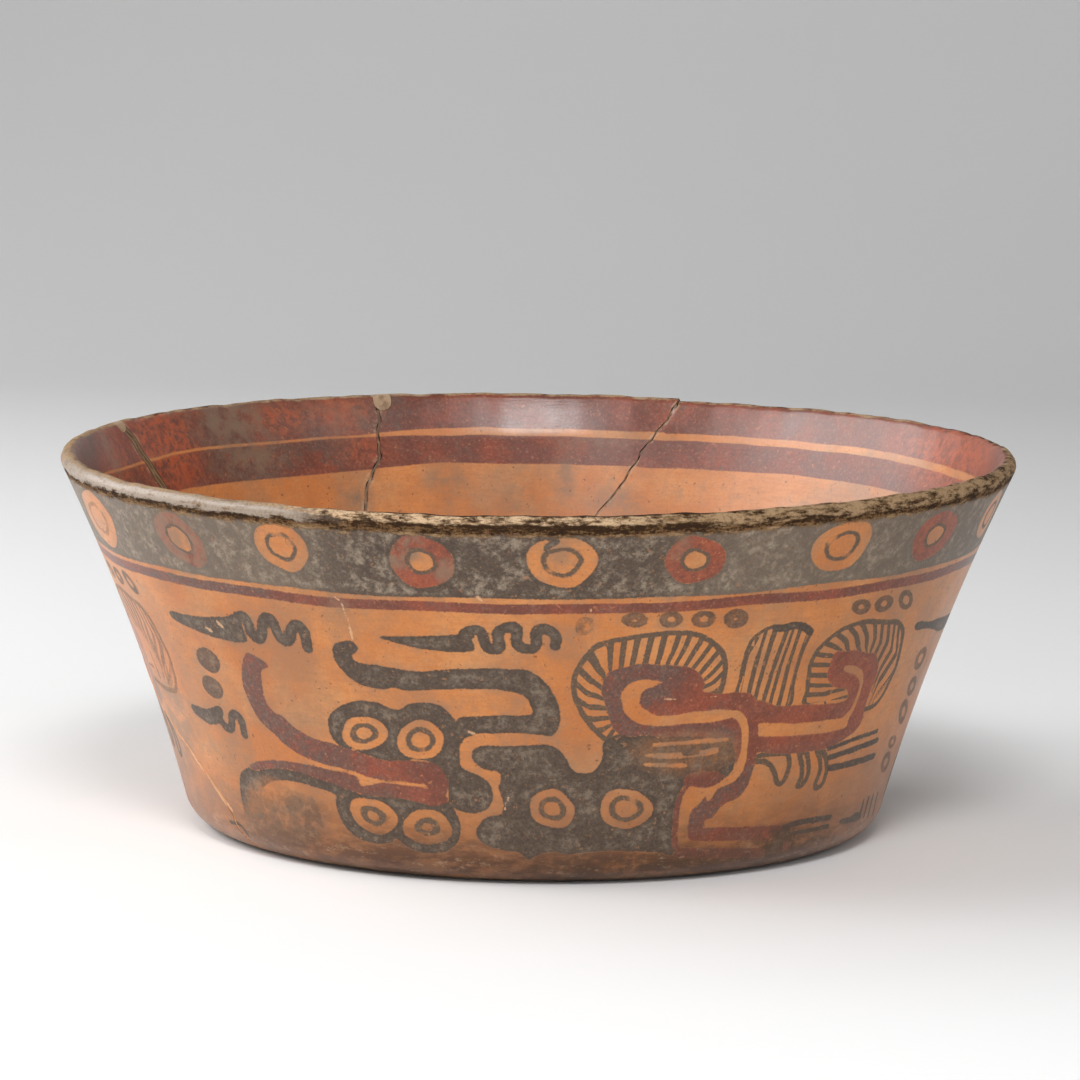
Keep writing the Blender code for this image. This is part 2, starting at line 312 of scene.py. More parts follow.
# The chips in the lip that putty fills
PUTTY_LEFT_AZIMUTH = radians(-109.9)
PUTTY_LEFT_WIDTH = 0.0048
PUTTY_LEFT_DEPTH = 0.0038
PUTTY_BACK_AZIMUTH = radians(-157.9)
PUTTY_BACK_WIDTH = 0.0056
PUTTY_BACK_DEPTH = 0.0056
PUTTY_PLUGS = {
    "putty_rim_left": (PUTTY_LEFT_AZIMUTH, PUTTY_LEFT_WIDTH, PUTTY_LEFT_DEPTH),
    "putty_rim_back": (PUTTY_BACK_AZIMUTH, PUTTY_BACK_WIDTH, PUTTY_BACK_DEPTH),
}
PUTTY_CLEARANCE = 0.0001
PLUG_STEPS = 12


def plug_shape(name, azimuth, width, depth):
    """A U-shaped prism set across the lip: open above, round below."""
    bottom = LIP / 2 - depth + width / 2
    edge = [(width / 2, LIP), (-width / 2, LIP)]
    for turn in np.linspace(pi, 2 * pi, PLUG_STEPS + 1):
        edge.append((width / 2 * cos(turn), bottom + width / 2 * sin(turn)))
    azimuth = np.array(azimuth)
    across = Vector(in_space(azimuth, *lip_across))
    up = Vector(in_space(azimuth, *lip_up))
    place = Matrix((up.cross(across), up, across)).transposed().to_4x4()
    place.translation = in_space(azimuth, *lip_middle)

    bm = bmesh.new()
    face = bm.faces.new([bm.verts.new((x, y, -LIP)) for x, y in edge])
    grown = bmesh.ops.extrude_face_region(bm, geom=[face])["geom"]
    moved = [item for item in grown if isinstance(item, bmesh.types.BMVert)]
    bmesh.ops.translate(bm, verts=moved, vec=(0, 0, 2 * LIP))
    bmesh.ops.recalc_face_normals(bm, faces=bm.faces)
    bm.transform(place)
    return add_object(name, bm)


for name, (azimuth, width, depth) in PUTTY_PLUGS.items():
    chip_size = (width + 2 * PUTTY_CLEARANCE, depth + PUTTY_CLEARANCE)
    cutters.append(plug_shape(name + "_chip", azimuth, *chip_size))
for cutter in cutters:
    cut(bowl, cutter)
clay = bpy.data.meshes.new_from_object(bowl.evaluated_get(bpy.context.evaluated_depsgraph_get()))
for helper in cutters + [bowl]:
    bpy.data.objects.remove(helper)

# Where each vertex of the clay lies: its azimuth, radius and height, and how far along the outline
spots = np.empty(len(clay.vertices) * 3)
clay.vertices.foreach_get("co", spots)
spots = spots.reshape(-1, 3)
azimuths = np.arctan2(spots[:, 0], -spots[:, 1])
radii = np.hypot(spots[:, 0], spots[:, 1])
heights = spots[:, 2]
outline_runs = np.concatenate(([0], np.cumsum(np.linalg.norm(np.diff(outline, axis=0), axis=1))))
lip_run = outline_runs[len(outer_outline) + len(lip_arc) // 2]


def runs_along(radii, heights):
    """How far along the outline each point lies, from the middle of the underside."""
    best = np.full(len(radii), np.inf)
    runs = np.zeros(len(radii))
    points = np.stack((radii, heights), 1)
    for start, end, run in zip(outline, outline[1:], outline_runs):
        step = end - start
        length = np.linalg.norm(step)
        share = np.clip((points - start) @ step / length ** 2, 0, 1)
        gap = np.linalg.norm(points - start - share[:, None] * step, axis=1)
        closer = gap < best
        best[closer] = gap[closer]
        runs[closer] = run + share[closer] * length
    return runs


runs = runs_along(radii, heights)
beyond_lip = runs - lip_run  # below 0 outside, above 0 inside

# The painting is laid out on the wall unrolled flat, as a cone unrolls, in metres
wall_rows = slice(UNDERSIDE_ROWS, len(outer_outline))
wall_heights = outer_outline[wall_rows, 1]
wall_runs = outline_runs[wall_rows]
cone_start = UNDERSIDE_ROWS + FOOT_ROWS
cone_rise = (outer_outline[-1, 0] - outer_outline[cone_start, 0]) / (
    outline_runs[len(outer_outline) - 1] - outline_runs[cone_start])
cone_tip = outer_outline[cone_start, 0] / cone_rise - outline_runs[cone_start]


def unrolled(azimuth, run):
    """Points of the outer wall on the flat, unrolled wall."""
    reach = cone_tip + run
    turn = azimuth * cone_rise
    return np.stack((reach * np.sin(turn), reach * np.cos(turn)), -1)


RAY_REACH = 0.16
RAY_STEPS = 2000


def on_wall(pixels):
    """Where these pixels of the photograph lie on the outer wall, as points of the unrolled wall."""
    pixels = np.asarray(pixels, float)
    focal = LENS / SENSOR * IMAGE
    rays = np.stack((
        (pixels[:, 0] - IMAGE / 2) / focal, (IMAGE / 2 - pixels[:, 1]) / focal, -np.ones(len(pixels)),
    ), 1) @ np.array(aim).T
    reach = np.linspace(EYE_DISTANCE - RAY_REACH, EYE_DISTANCE, RAY_STEPS)
    points = np.array(eye) + rays[:, None] * reach[None, :, None]
    azimuth = np.arctan2(points[..., 0], -points[..., 1])
    height = points[..., 2] / (1 + rim_lift(azimuth) / HEIGHT)
    wall = np.interp(height, wall_heights, outer_outline[wall_rows, 0])
    clear = np.hypot(points[..., 0], points[..., 1]) - wall
    struck = (clear <= 0) & (height > 0) & (height < HEIGHT)
    first = np.where(struck.any(1), struck.argmax(1), np.abs(clear).argmin(1))
    rows = np.arange(len(pixels))
    return unrolled(azimuth[rows, first], np.interp(height[rows, first], wall_heights, wall_runs))


CURVE_STEPS = 6


def curved(points, closed):
    """A smooth line through these points."""
    points = np.asarray(points, float)
    if closed:
        around = np.concatenate((points[-1:], points, points[:2]))
    else:
        around = np.concatenate((points[:1], points, points[-1:]))
    line = []
    for a, b, c, d in zip(around, around[1:], around[2:], around[3:]):
        for share in np.arange(CURVE_STEPS) / CURVE_STEPS:
            line.append(b + 0.5 * share * (c - a + share * (
                2 * a - 5 * b + 4 * c - d + share * (3 * (b - c) + d - a))))
    if not closed:
        line.append(points[-1])
    return np.array(line)


def from_line(points, line, widths):
    """Signed distance from the edge of a stroke of these widths along a line."""
    best = np.full(len(points), np.inf)
    for start, end, width, next_width in zip(line, line[1:], widths, widths[1:]):
        step = end - start
        share = np.clip((points - start) @ step / max(step @ step, 1e-12), 0, 1)
        gap = np.linalg.norm(points - start - share[:, None] * step, axis=1)
        best = np.minimum(best, gap - (width + share * (next_width - width)) / 2)
    return best


def from_area(points, edge):
    """Signed distance from the edge of an area, below 0 inside it."""
    ring = np.concatenate((edge, edge[:1]))
    gap = from_line(points, ring, np.zeros(len(ring)))
    within = np.zeros(len(points), bool)
    for start, end in zip(ring, ring[1:]):
        straddles = (start[1] > points[:, 1]) != (end[1] > points[:, 1])
        rise = end[1] - start[1] if end[1] != start[1] else 1e-12
        crossing = start[0] + (points[:, 1] - start[1]) / rise * (end[0] - start[0])
        within ^= straddles & (points[:, 0] < crossing)
    return np.where(within, -gap, gap)


def from_oval(points, left, top, right, bottom):
    """Distance from the middle of an oval through four points, as a share of its size, and that size."""
    middle = (left + top + right + bottom) / 4
    axes = np.stack(((right - left) / 2, (top - bottom) / 2), 1)
    share = np.linalg.norm((points - middle) @ np.linalg.inv(axes).T, axis=1)
    return share, np.sqrt(abs(np.linalg.det(axes)))


# Every painted field is a distance in metres, below 0 where the paint is
FAR = 0.008
BEYOND = 3.0  # the same for fields that count in shares
MARGIN = 0.004
TURNS = (0.0, 124.0, -120.0)  # degrees: the frieze shows the same figure three times round the bowl
TAIL_TURNS = (0.0, 130.0, -120.0)  # the tails between the figures
SEEN_TURN = (0.0,)
FAR_TURNS = (0.0, 124.0)
ARM_TURNS = (0.0, 124.0, -127.0)  # the red arm of the figure behind the left edge stops short of it
FAR_SQUEEZE = 1.12  # the figure beyond the right edge is drawn a little narrower
painted = {name: np.full(len(spots), FAR) for name in ("black", "red", "pale")}
outlined = np.full(len(spots), BEYOND)  # in widths of the outline
feathers = np.full(len(spots), 0.5)  # counts strokes, a whole number in the middle of each
rings = np.full(len(spots), BEYOND)  # 1 at the edge of a ringed circle, its dark ring from 0.4 to 0.6
faded = np.zeros(len(spots))  # where paint has thinned
dusky = np.zeros(len(spots))  # where red paint is dark and grey
stained = np.zeros(len(spots))  # where the ground is grey with dirt, and grey along the left edge as a painted sheen
rusty = np.zeros(len(spots))  # where red paint is thin and bright
crusted = np.zeros(len(spots))  # where dark dirt has set hard

outer_rows = np.flatnonzero((beyond_lip < -LIP / 2) & (runs > outline_runs[UNDERSIDE_ROWS]))
flat_walls = {}
for turn_degrees in set(TURNS + TAIL_TURNS + ARM_TURNS):
    turned = (azimuths[outer_rows] - radians(turn_degrees) + pi) % (2 * pi) - pi
    if turn_degrees > 0:
        turned = turned * FAR_SQUEEZE
    flat_walls[turn_degrees] = unrolled(turned, runs[outer_rows])


def near(shape, turns):
    """For each turn of the frieze, the vertices round a shape and where they lie on the flat wall."""
    low = shape.min(0) - MARGIN
    high = shape.max(0) + MARGIN
    for turn in turns:
        flat = flat_walls[turn]
        kept = np.flatnonzero(((flat > low) & (flat < high)).all(1))
        yield outer_rows[kept], flat[kept]


def lay(finish, rows, gap):
    """Lays paint where gap is below 0, over any other paint there. Bare ground takes paint away."""
    for name in ("black", "red"):
        if name == finish:
            painted[name][rows] = np.minimum(painted[name][rows], gap)
        else:
            painted[name][rows] = np.maximum(painted[name][rows], -gap)


def area(finish, pixels, turns=TURNS):
    edge = curved(on_wall(pixels), True)
    for rows, points in near(edge, turns):
        lay(finish, rows, from_area(points, edge))


def stroke(finish, width, pixels, turns=TURNS):
    line = curved(on_wall(pixels), False)
    for rows, points in near(line, turns):
        lay(finish, rows, from_line(points, line, np.full(len(line), width)))


def oval(finish, pixels, hole=0.0, turns=TURNS):
    corners = on_wall(pixels)
    for rows, points in near(corners, turns):
        share, size = from_oval(points, *corners)
        lay(finish, rows, (share - 1) * size)
        if hole:
            lay("ground", rows, (share - hole) * size)


RING_WOBBLES = ((2, 0.035, 2.0), (3, 0.035, 4.1), (5, 0.02, 0.9))  # waves, share of the size, turn
RING_VARIETY = 900  # turns the wobble from one ring to the next
RING_MARKS = (0, 0.4, 0.6, 1, BEYOND)  # at its middle, round its dark ring, at its edge and beyond


def ringed(corners, centre, dark, finish, turns):
    """A ringed circle, drawn by hand: a disc with a dark ring between these shares of its size."""
    middle = corners.mean(0)
    for rows, points in near(corners, turns):
        share, size = from_oval(points, *corners)
        turn = np.arctan2(*(points - middle).T)
        for waves, wobble, start in RING_WOBBLES:
            shift = start + RING_VARIETY * middle[0] * waves
            share = share * (1 + wobble * np.sin(waves * turn + shift))
        lay(finish, rows, (share - 1) * size)
        marks = np.interp(share, (0, centre, dark, 1, BEYOND), RING_MARKS)
        rings[rows] = np.minimum(rings[rows], marks)


def tongue(width, pixels, turns=TURNS):
    """An area with a dark outline of this width inside its edge."""
    edge = curved(on_wall(pixels), True)
    for rows, points in near(edge, turns):
        outlined[rows] = np.minimum(outlined[rows], from_area(points, edge) / width)


FAN_CLEARANCE = 0.0004


def cleared(width, pixels, turns=TURNS):
    """Takes the lines of a fan away inside an area and just beyond its edge."""
    edge = curved(on_wall(pixels), True)
    for rows, points in near(edge, turns):
        outlined[rows] = np.maximum(outlined[rows], (FAN_CLEARANCE - from_area(points, edge)) / width)


FEATHER_STEPS = 5
FEATHER_OVERRUN = 0.35
FEATHER_SEAM = 0.02  # how far neighbouring spaces overlap


def feathered(strokes, turns=TURNS):
    """Counts the strokes of a feather fan, so that the space between any two of them runs evenly."""
    lines = []
    for pixels in strokes:
        line = curved(on_wall(pixels), False)
        shares = np.linspace(-FEATHER_OVERRUN, 1 + FEATHER_OVERRUN, FEATHER_STEPS)
        own = np.linspace(0, 1, len(line))
        inner = np.stack([np.interp(shares, own, line[:, axis]) for axis in (0, 1)], 1)
        inner[0] += shares[0] * (line[-1] - line[0])
        inner[-1] += (shares[-1] - 1) * (line[-1] - line[0])
        lines.append(inner)
    for rows, points in near(np.concatenate(lines), turns):
        for count, (one, other) in enumerate(zip(lines, lines[1:])):
            for a, b, c, d in zip(one, one[1:], other, other[1:]):
                for corner, left, right, turned_over in ((a, b, c, False), (d, c, b, True)):
                    sides = np.stack((left - corner, right - corner), 1)
                    if abs(np.linalg.det(sides)) < 1e-12:
                        continue
                    along = (points - corner) @ np.linalg.inv(sides).T
                    held = (along > -FEATHER_SEAM).all(1) & (along.sum(1) < 1 + FEATHER_SEAM)
                    across = 1 - along[held, 1] if turned_over else along[held, 1]
                    feathers[rows[held]] = count + across


SMUDGE_REACH = 1.4  # in shares of its oval
SMUDGE_SOFTNESS = 0.5


def smudge(field, strength, pixels, turns=TURNS):
    """Raises a field softly over an oval: thins the paint, makes red dusky, stains the ground or paints
    a grey sheen on it.
    """
    corners = on_wall(pixels)
    for rows, points in near(corners, turns):
        share = from_oval(points, *corners)[0]
        cover = strength * np.clip((SMUDGE_REACH - share) / SMUDGE_SOFTNESS, 0, 1)
        field[rows] = np.maximum(field[rows], cover)


# The frieze, as points read from the photograph, in its pixels. First the wavy tails and dots
MARK = 0.0034  # width of a wavy tail
SECOND_MARK = 0.0030
THIN_MARK = 0.0028
TAIL = [
    (171.5, 610.8), (191.8, 615.3), (220, 616.8), (231, 615), (241, 611.7), (246, 614), (242, 622),
    (245, 633), (247.5, 641.3), (234.7, 641.8), (212.2, 636.2), (189.8, 627), (175, 619),
]
TAIL_WAVE = [
    (238, 617), (244, 616.5), (248, 622), (250.5, 631), (255, 637), (260, 638.2), (262.3, 632),
    (262.2, 624), (266, 618.3), (272, 620), (275.5, 628), (279.5, 636.5), (286, 641), (290.3, 637),
    (291.3, 630), (296, 625.3), (302, 628.5), (305.5, 637), (307.5, 647.5),
]
SECOND_TAIL = [
    (381, 636.3), (405.9, 636.3), (443, 635.6), (458, 633.9), (466, 629.5), (474, 628), (474.5, 636),
    (472, 640), (474.5, 650.4), (460, 652.5), (438.4, 651), (411.3, 647), (384.2, 639.5),
]
SECOND_WAVE = [
    (464, 634), (470, 631), (478, 630.5), (482.5, 635), (484, 642), (487.5, 648), (493, 649.5),
    (499.5, 648.5), (499.5, 642), (497.5, 636), (499, 631), (505, 628), (511.5, 626.5), (516.5, 629),
    (516.5, 636), (516, 642), (519.5, 647), (527, 649), (534, 648), (537, 642), (536, 636),
    (538, 630.5), (543, 629), (549, 630.5), (554.5, 634.5), (556.5, 640.5), (555.5, 646),
]
SMALL_TAIL = [
    (192.3, 704.1), (207, 708.7), (217.3, 705.6), (222.4, 708.2), (224, 714.3), (221.4, 722.4),
    (212.2, 724.5), (203, 719.4), (194.9, 712.2),
]
SMALL_WAVE = [
    (220, 717), (225, 725), (230.5, 728.5), (233, 723.5), (232, 717.5), (235.7, 714), (240.5, 717.5),
    (243.5, 726), (245, 734.5),
]
SIDE_DOTS = [
    [(199.5, 648.5), (215.5, 654), (219.5, 671), (203, 666)],
    [(204.5, 676.5), (219, 682), (222.5, 697.5), (207.5, 692)],
]
EDGE_TAIL = [
    (914.2, 627.2), (919, 621.3), (929.7, 621.3), (939.2, 617.7), (950, 612.5), (949, 618),
    (946.4, 623.7), (939.2, 630.8), (928.5, 628.4), (916.6, 630.1),
]
EDGE_DOTS = [
    [(914.7, 663), (922.5, 647.5), (926.1, 653.5), (917.8, 669)],
    [(907.5, 690.4), (913, 676.6), (916.1, 682.1), (910.1, 695.2)],
    [(898.7, 717.8), (903.9, 700), (907.8, 705.9), (902.3, 722.6)],
    [(888.4, 744.1), (892.7, 735.7), (896.3, 739.3), (891.5, 747.7)],
    [(881.3, 766.7), (886.3, 752.4), (890.6, 757.2), (884.4, 771.5)],
]
EDGE_DOT_HOLE = 0.42
EDGE_FAN_LINES = [
    [(153, 625), (160.4, 643.6), (166, 662), (169, 675), (169, 684)],
    [(148.5, 630), (155, 647), (161, 664.5), (165, 677.5)],
    [(150, 650), (156, 665), (161, 678)],
]
EDGE_FAN_LINE = 0.0010
ROW_DOTS = [
    ([(620.7, 620.1), (634.7, 612.6), (648.7, 620.1), (634.7, 627.6)], 0.22),
    ([(659.4, 620.5), (670.5, 611.5), (683.4, 618.5), (672, 627.5)], 0.38),
    ([(691.5, 621.5), (702, 611), (716, 616.5), (706, 627.5)], 0.36),
    ([(724, 622), (734, 609.5), (748.5, 615), (739, 628)], 0.16),
    ([(852.7, 610), (859, 600), (871, 603.5), (865, 614)], 0.33),
    ([(875, 608), (883, 596.5), (893.5, 599), (886, 611)], 0.36),
    ([(900, 606), (902.5, 592), (912, 593.5), (909.5, 608)], 0.45),
]
FAINT_DOT = [(575.5, 627), (585, 617), (594.5, 625), (584, 635.5)]
SIDE_DOT_WEAR = 0.12
EDGE_DOT_WEAR = 0.3
ROW_DOT_WEAR = 0.2
FAINT_DOT_WEAR = 0.7

area("black", TAIL, TAIL_TURNS)
stroke("black", MARK, TAIL_WAVE, TAIL_TURNS)
area("black", SECOND_TAIL)
stroke("black", SECOND_MARK, SECOND_WAVE)
area("black", SMALL_TAIL, TAIL_TURNS[::2])
stroke("black", THIN_MARK, SMALL_WAVE, TAIL_TURNS[::2])
area("black", EDGE_TAIL, SEEN_TURN)
for pixels in EDGE_FAN_LINES:
    stroke("black", EDGE_FAN_LINE, pixels, SEEN_TURN)
for dot in SIDE_DOTS:
    oval("black", dot, turns=TAIL_TURNS[::2])
    smudge(faded, SIDE_DOT_WEAR, dot, TAIL_TURNS[::2])
for dot in EDGE_DOTS:
    oval("black", dot, EDGE_DOT_HOLE, SEEN_TURN)
    smudge(faded, EDGE_DOT_WEAR, dot, SEEN_TURN)
for dot, dot_hole in ROW_DOTS:
    oval("black", dot, dot_hole)
    smudge(faded, ROW_DOT_WEAR, dot)
oval("black", FAINT_DOT)
smudge(faded, FAINT_DOT_WEAR, FAINT_DOT)

# The hooked arm, the ringed lobes and the body of the serpent
HOOKED_ARM = [
    (332.7, 650), (336, 643.5), (347.3, 640.3), (355, 643.5), (357.5, 650.2), (351.5, 656.6),
    (360, 662.8), (373.4, 664.5), (390, 667.5), (405, 670), (425, 671.5), (443, 669.5), (482, 668.6),
    (521, 669.5), (535.9, 674.6), (547.4, 684.9), (554.3, 695.3), (558.9, 706.8), (560.6, 719.4),
    (557.8, 729.7), (550.9, 736), (539.4, 734.9), (517.6, 733.2), (488.9, 733.7), (475, 734.3),
    (466, 738), (460, 744), (452, 735), (456.7, 720.5), (462.5, 717.1), (483.1, 715.9), (506.1, 715.4),
    (530, 714.8), (531.5, 709), (526.8, 698.7), (517.6, 693.6), (500.4, 690.1), (471.7, 689),
    (443, 689.5), (420, 690.7), (403.7, 690.5), (395, 687.2), (382, 689.4), (357.1, 683), (336.5, 663.4),
]
UPPER_LOBES = [
    (328, 722), (331, 713), (343, 704.5), (361, 700.8), (378, 702.5), (396, 710), (408, 704.5),
    (423.2, 702.4), (437.2, 704.5), (446.4, 710.2), (453.3, 718.2), (458, 728), (460, 744), (460, 763),
    (466, 770), (482, 777), (490, 784), (493.2, 794), (491, 804), (484, 811), (472.5, 813.5),
    (457.6, 810), (449, 800), (448, 786), (446, 776), (440, 767), (431, 763), (411.7, 760.7),
    (386.5, 760.7), (366.9, 754.9), (352, 750), (340, 746), (331, 735),
]
LOWER_LOBES = [
    (338, 794), (335.9, 804.3), (340.5, 818.1), (348.6, 830.7), (361.2, 839.9), (378.4, 843.9),
    (389.9, 843.3), (396.7, 838.7), (404.8, 845.6), (417.4, 851.4), (435.8, 853.7), (449.5, 850.2),
    (458.7, 841), (461, 825), (455.3, 811.2), (447, 800), (425, 797), (405, 796), (388, 795),
    (372, 790), (355, 789), (344, 790),
]
GREY_LOBE = [
    (240.7, 774.4), (248, 767.5), (259, 767), (275, 767.5), (293.5, 769), (311.8, 772), (329, 777),
    (346, 785), (340, 795), (323.3, 789.4), (307.2, 784.8), (294.6, 781.3), (282, 780.2), (269.4, 782.5),
    (263, 790), (262, 802), (266, 814), (260, 820), (254.4, 819.2), (246.4, 813.5), (243, 804.3),
    (240.7, 790.5),
]
LOBE_DOT = [(285, 803), (293, 795), (304, 804), (294, 811)]
LOBE_WEAR = [
    (0.5, [(250, 806), (272, 788), (300, 815), (272, 845)]),
    (0.5, [(280, 803), (293, 793), (306, 804), (294, 814)]),
]
GROUND_STAINS_AND_SHEEN = [
    (0.9, [(248, 828), (282, 806), (318, 826), (284, 848)]),
    (0.8, [(308, 818), (313, 800), (320, 822), (314, 838)]),
    (0.45, [(322, 612), (337, 596), (353, 624), (338, 640)]),
    # a painted sheen down the left edge, laid on as grey
    (0.70, [(150, 715), (166, 685), (196, 745), (180, 775)]),
    (0.40, [(222, 752), (238, 738), (252, 756), (238, 772)]),
    (0.35, [(540, 640), (566, 628), (590, 650), (566, 664)]),
    (0.30, [(440, 706), (466, 698), (500, 708), (466, 716)]),
    (0.45, [(330, 858), (400, 846), (470, 862), (400, 872)]),
    (0.55, [(196, 800), (222, 790), (252, 826), (226, 838)]),
]
LOBE_CRUSTS = [
    (0.35, [(244, 822), (280, 796), (322, 822), (284, 852)]),
    (0.5, [(304, 822), (312, 800), (322, 822), (314, 842)]),
]
DARK_CURL = [(231, 822.5), (238, 823.3), (245, 830), (249, 836.7)]
DARK_CURL_WIDTH = 0.0012
BODY = [
    (472, 751.5), (476.7, 747.9), (485.1, 745.4), (504.5, 746.1), (534.8, 744.8), (546.9, 744.8),
    (556.6, 747.9), (562.7, 753.9), (567.5, 761.2), (571.2, 768.5), (577.2, 772.7), (585.7, 773.3),
    (594.2, 770.9), (600.3, 762.4), (603.3, 752.7), (603, 743), (612, 738), (622, 734), (634, 728),
    (660, 730), (690, 730), (727, 728), (736, 722), (741, 745), (738.4, 757.4), (732.7, 770),
    (722.3, 780.4), (708.6, 787.2), (700, 789), (690, 790), (683.3, 797), (680, 806), (679, 815),
    (678, 826), (677.6, 837.8), (678.7, 846), (674.5, 856), (660, 853), (640, 852), (607.5, 850.9),
    (583.3, 853.3), (565.1, 854.5), (555.4, 852.1), (542.1, 853.5), (534, 857.5), (528.8, 860.5),
    (524, 856), (517.9, 852.1), (504.5, 850.9), (490, 847.2), (479.1, 840), (476.1, 831.5),
    (480.3, 823), (487, 817), (500, 814), (503.3, 808), (502, 797.6), (498.5, 787.9), (500.3, 780.6),
    (498.5, 772.1), (485.1, 769.7), (477.9, 764.8), (472.4, 758.8),
]
BODY_FRINGE = [(684, 791), (678, 804), (676, 826), (675, 846)]
BODY_FRINGE_WIDTH = 0.0019
RED_ARM = [
    (246.5, 653.7), (257, 657), (268.4, 665.5), (261.9, 669.4), (261.4, 677), (265.7, 700),
    (274.9, 712.8), (282, 716), (295.5, 728), (312, 737.7), (335, 744.6), (352, 750), (366.9, 755.5),
    (386.5, 760.7), (411.7, 760.7), (431.2, 763), (440.4, 767.6), (447.2, 779), (448.4, 785.9),
    (445, 795.1), (438, 796), (430, 790), (426, 784.5), (416, 783), (400.2, 781), (383, 779),
    (369.2, 777), (355.5, 771.4), (340.5, 767.4), (329, 765.2), (317.6, 761.2), (305, 756.6),
    (288.9, 746.9), (273.4, 732.2), (260.8, 720.3), (251, 703), (244.6, 686.7), (242.7, 670),
]
LOWER_RED = [
    (362, 786.5), (383, 782.8), (400, 785), (415, 786.8), (428, 789.5), (438, 795), (446, 795),
    (447, 802), (436, 806), (420, 803), (405, 799), (388.7, 797), (362, 794), (340, 786), (323, 780),
    (307, 774.5), (290, 769.5), (272, 768), (256, 770), (249.8, 766.4), (259, 761.8), (275.1, 760.7),
    (293.5, 762.4), (311.8, 765.8), (329, 769.8), (346.3, 773.3), (357.8, 777.9),
]

ARM_DUSK = [
    (0.75, [(232, 690), (262, 645), (300, 720), (268, 760)]),
    (0.6, [(270, 742), (310, 725), (356, 758), (318, 776)]),
    (0.45, [(335, 790), (365, 776), (398, 790), (368, 804)]),
    (0.45, [(240, 768), (268, 758), (300, 770), (270, 780)]),
    (0.90, [(110, 578), (170, 566), (262, 590), (190, 600)]),
]

oval("black", LOBE_DOT)
for pixels in (UPPER_LOBES, LOWER_LOBES, GREY_LOBE, HOOKED_ARM, BODY):
    area("black", pixels)
stroke("red", BODY_FRINGE_WIDTH, BODY_FRINGE)
area("red", RED_ARM)
area("red", LOWER_RED)
stroke("black", DARK_CURL_WIDTH, DARK_CURL, SEEN_TURN)
for strength, pixels in LOBE_WEAR:
    smudge(faded, strength, pixels)
for strength, pixels in GROUND_STAINS_AND_SHEEN:
    smudge(stained, strength, pixels, SEEN_TURN)
for strength, pixels in LOBE_CRUSTS:
    smudge(crusted, strength, pixels, SEEN_TURN)
for strength, pixels in ARM_DUSK:
    smudge(dusky, strength, pixels)

# The feather fans, the red head with its orange scroll, the eye, and the bars and lines beside it
FAN = [
    (612, 742), (596.3, 735.3), (585, 722.8), (576.9, 709.1), (571.7, 695.3), (570.6, 683.8),
    (573.4, 672.5), (581.5, 658.7), (593, 646.1), (608.9, 639.5), (627.2, 635.9), (649.1, 633),
    (672, 630.7), (695, 631.4), (709, 636.5), (719, 644), (725.5, 653), (728, 666), (726, 680),
    (721, 694), (700, 700), (650, 720),
]
FAN_LINE = 0.0015
FAN_STROKES = [
    [(618.5, 742), (622, 734)],
    [(608, 739.5), (613, 730.3)],
    [(598, 733), (609.8, 726.4)],
    [(584, 720), (595, 719.5), (605.9, 718.5)],
    [(577, 701), (588.5, 707.4), (606.7, 708.2)],
    [(573, 681), (586.9, 694), (603.5, 698.7)],
    [(577, 668), (589.3, 679.8), (603.5, 690)],
    [(588, 655), (597.2, 668.7), (605.1, 678.2)],
    [(611, 642), (609.5, 670)],
    [(624.5, 639), (621.2, 668.3)],
    [(638, 637.5), (632.5, 662.2)],
    [(652.5, 636), (645.5, 662.7)],
    [(665, 634), (658.1, 662.7)],
    [(680, 634), (674.9, 649.3), (668.2, 662.7)],
    [(690, 635), (684.2, 649.3), (675.8, 663.6)],
    [(703, 637.5), (692.6, 654.3), (686.7, 664.4)],
    [(713, 642.5), (702.7, 656), (693.4, 667.8)],
    [(720, 650), (707.8, 664.4), (700.2, 673.7)],
    [(725, 659), (713.6, 672), (705.2, 679.6)],
    [(725, 671), (713.6, 682.1), (704.4, 686.3)],
    [(724, 685), (712.8, 693.9), (705.2, 695.6)],
]
TUFT = [
    (736.5, 698), (738.5, 680), (742, 663), (746.5, 648), (753, 637), (763, 629.5), (775, 624.5),
    (783, 625), (793, 622), (804, 622.5), (813.5, 630), (809.5, 640), (803, 655), (796, 679), (790, 707),
    (760, 710),
]
TUFT_LINE = 0.0011
TUFT_STROKES = [
    [(737.5, 697), (743.9, 664.3), (750.2, 644.8), (762, 630)],
    [(748.5, 697), (754.8, 671.2), (761.7, 645.9), (766, 630)],
    [(754.5, 700), (761.7, 674.6), (768.6, 649.4), (776, 628)],
    [(762.5, 706), (767.4, 689.5), (776.6, 662), (789, 629)],
    [(769.5, 706), (775.5, 679.2), (784.6, 655.1), (794, 628)],
    [(778.5, 706), (784.6, 680.4), (792.7, 651.7), (801, 628)],
    [(788, 706), (793.8, 679.2), (800.7, 655.1), (811, 630)],
]
TUFT_TOP = [(776, 628), (785, 628), (793, 626), (803, 626.5), (811, 632)]
TUFT_TOP_WIDTH = 0.0022
RIGHT_FAN = [
    (805, 708), (805.5, 690.6), (806.5, 678.4), (808.5, 666.3), (812, 656.7), (818, 648), (827, 639),
    (835, 632.6), (845, 626.2), (856, 621.9), (867.4, 619.5), (878, 619), (890, 619.8), (899.5, 620),
    (904.5, 629), (903.2, 640.6), (900.5, 654.9), (897, 666.8), (892, 678.4), (886.5, 690.5),
    (880, 700.9), (871, 709.5), (845, 715),
]
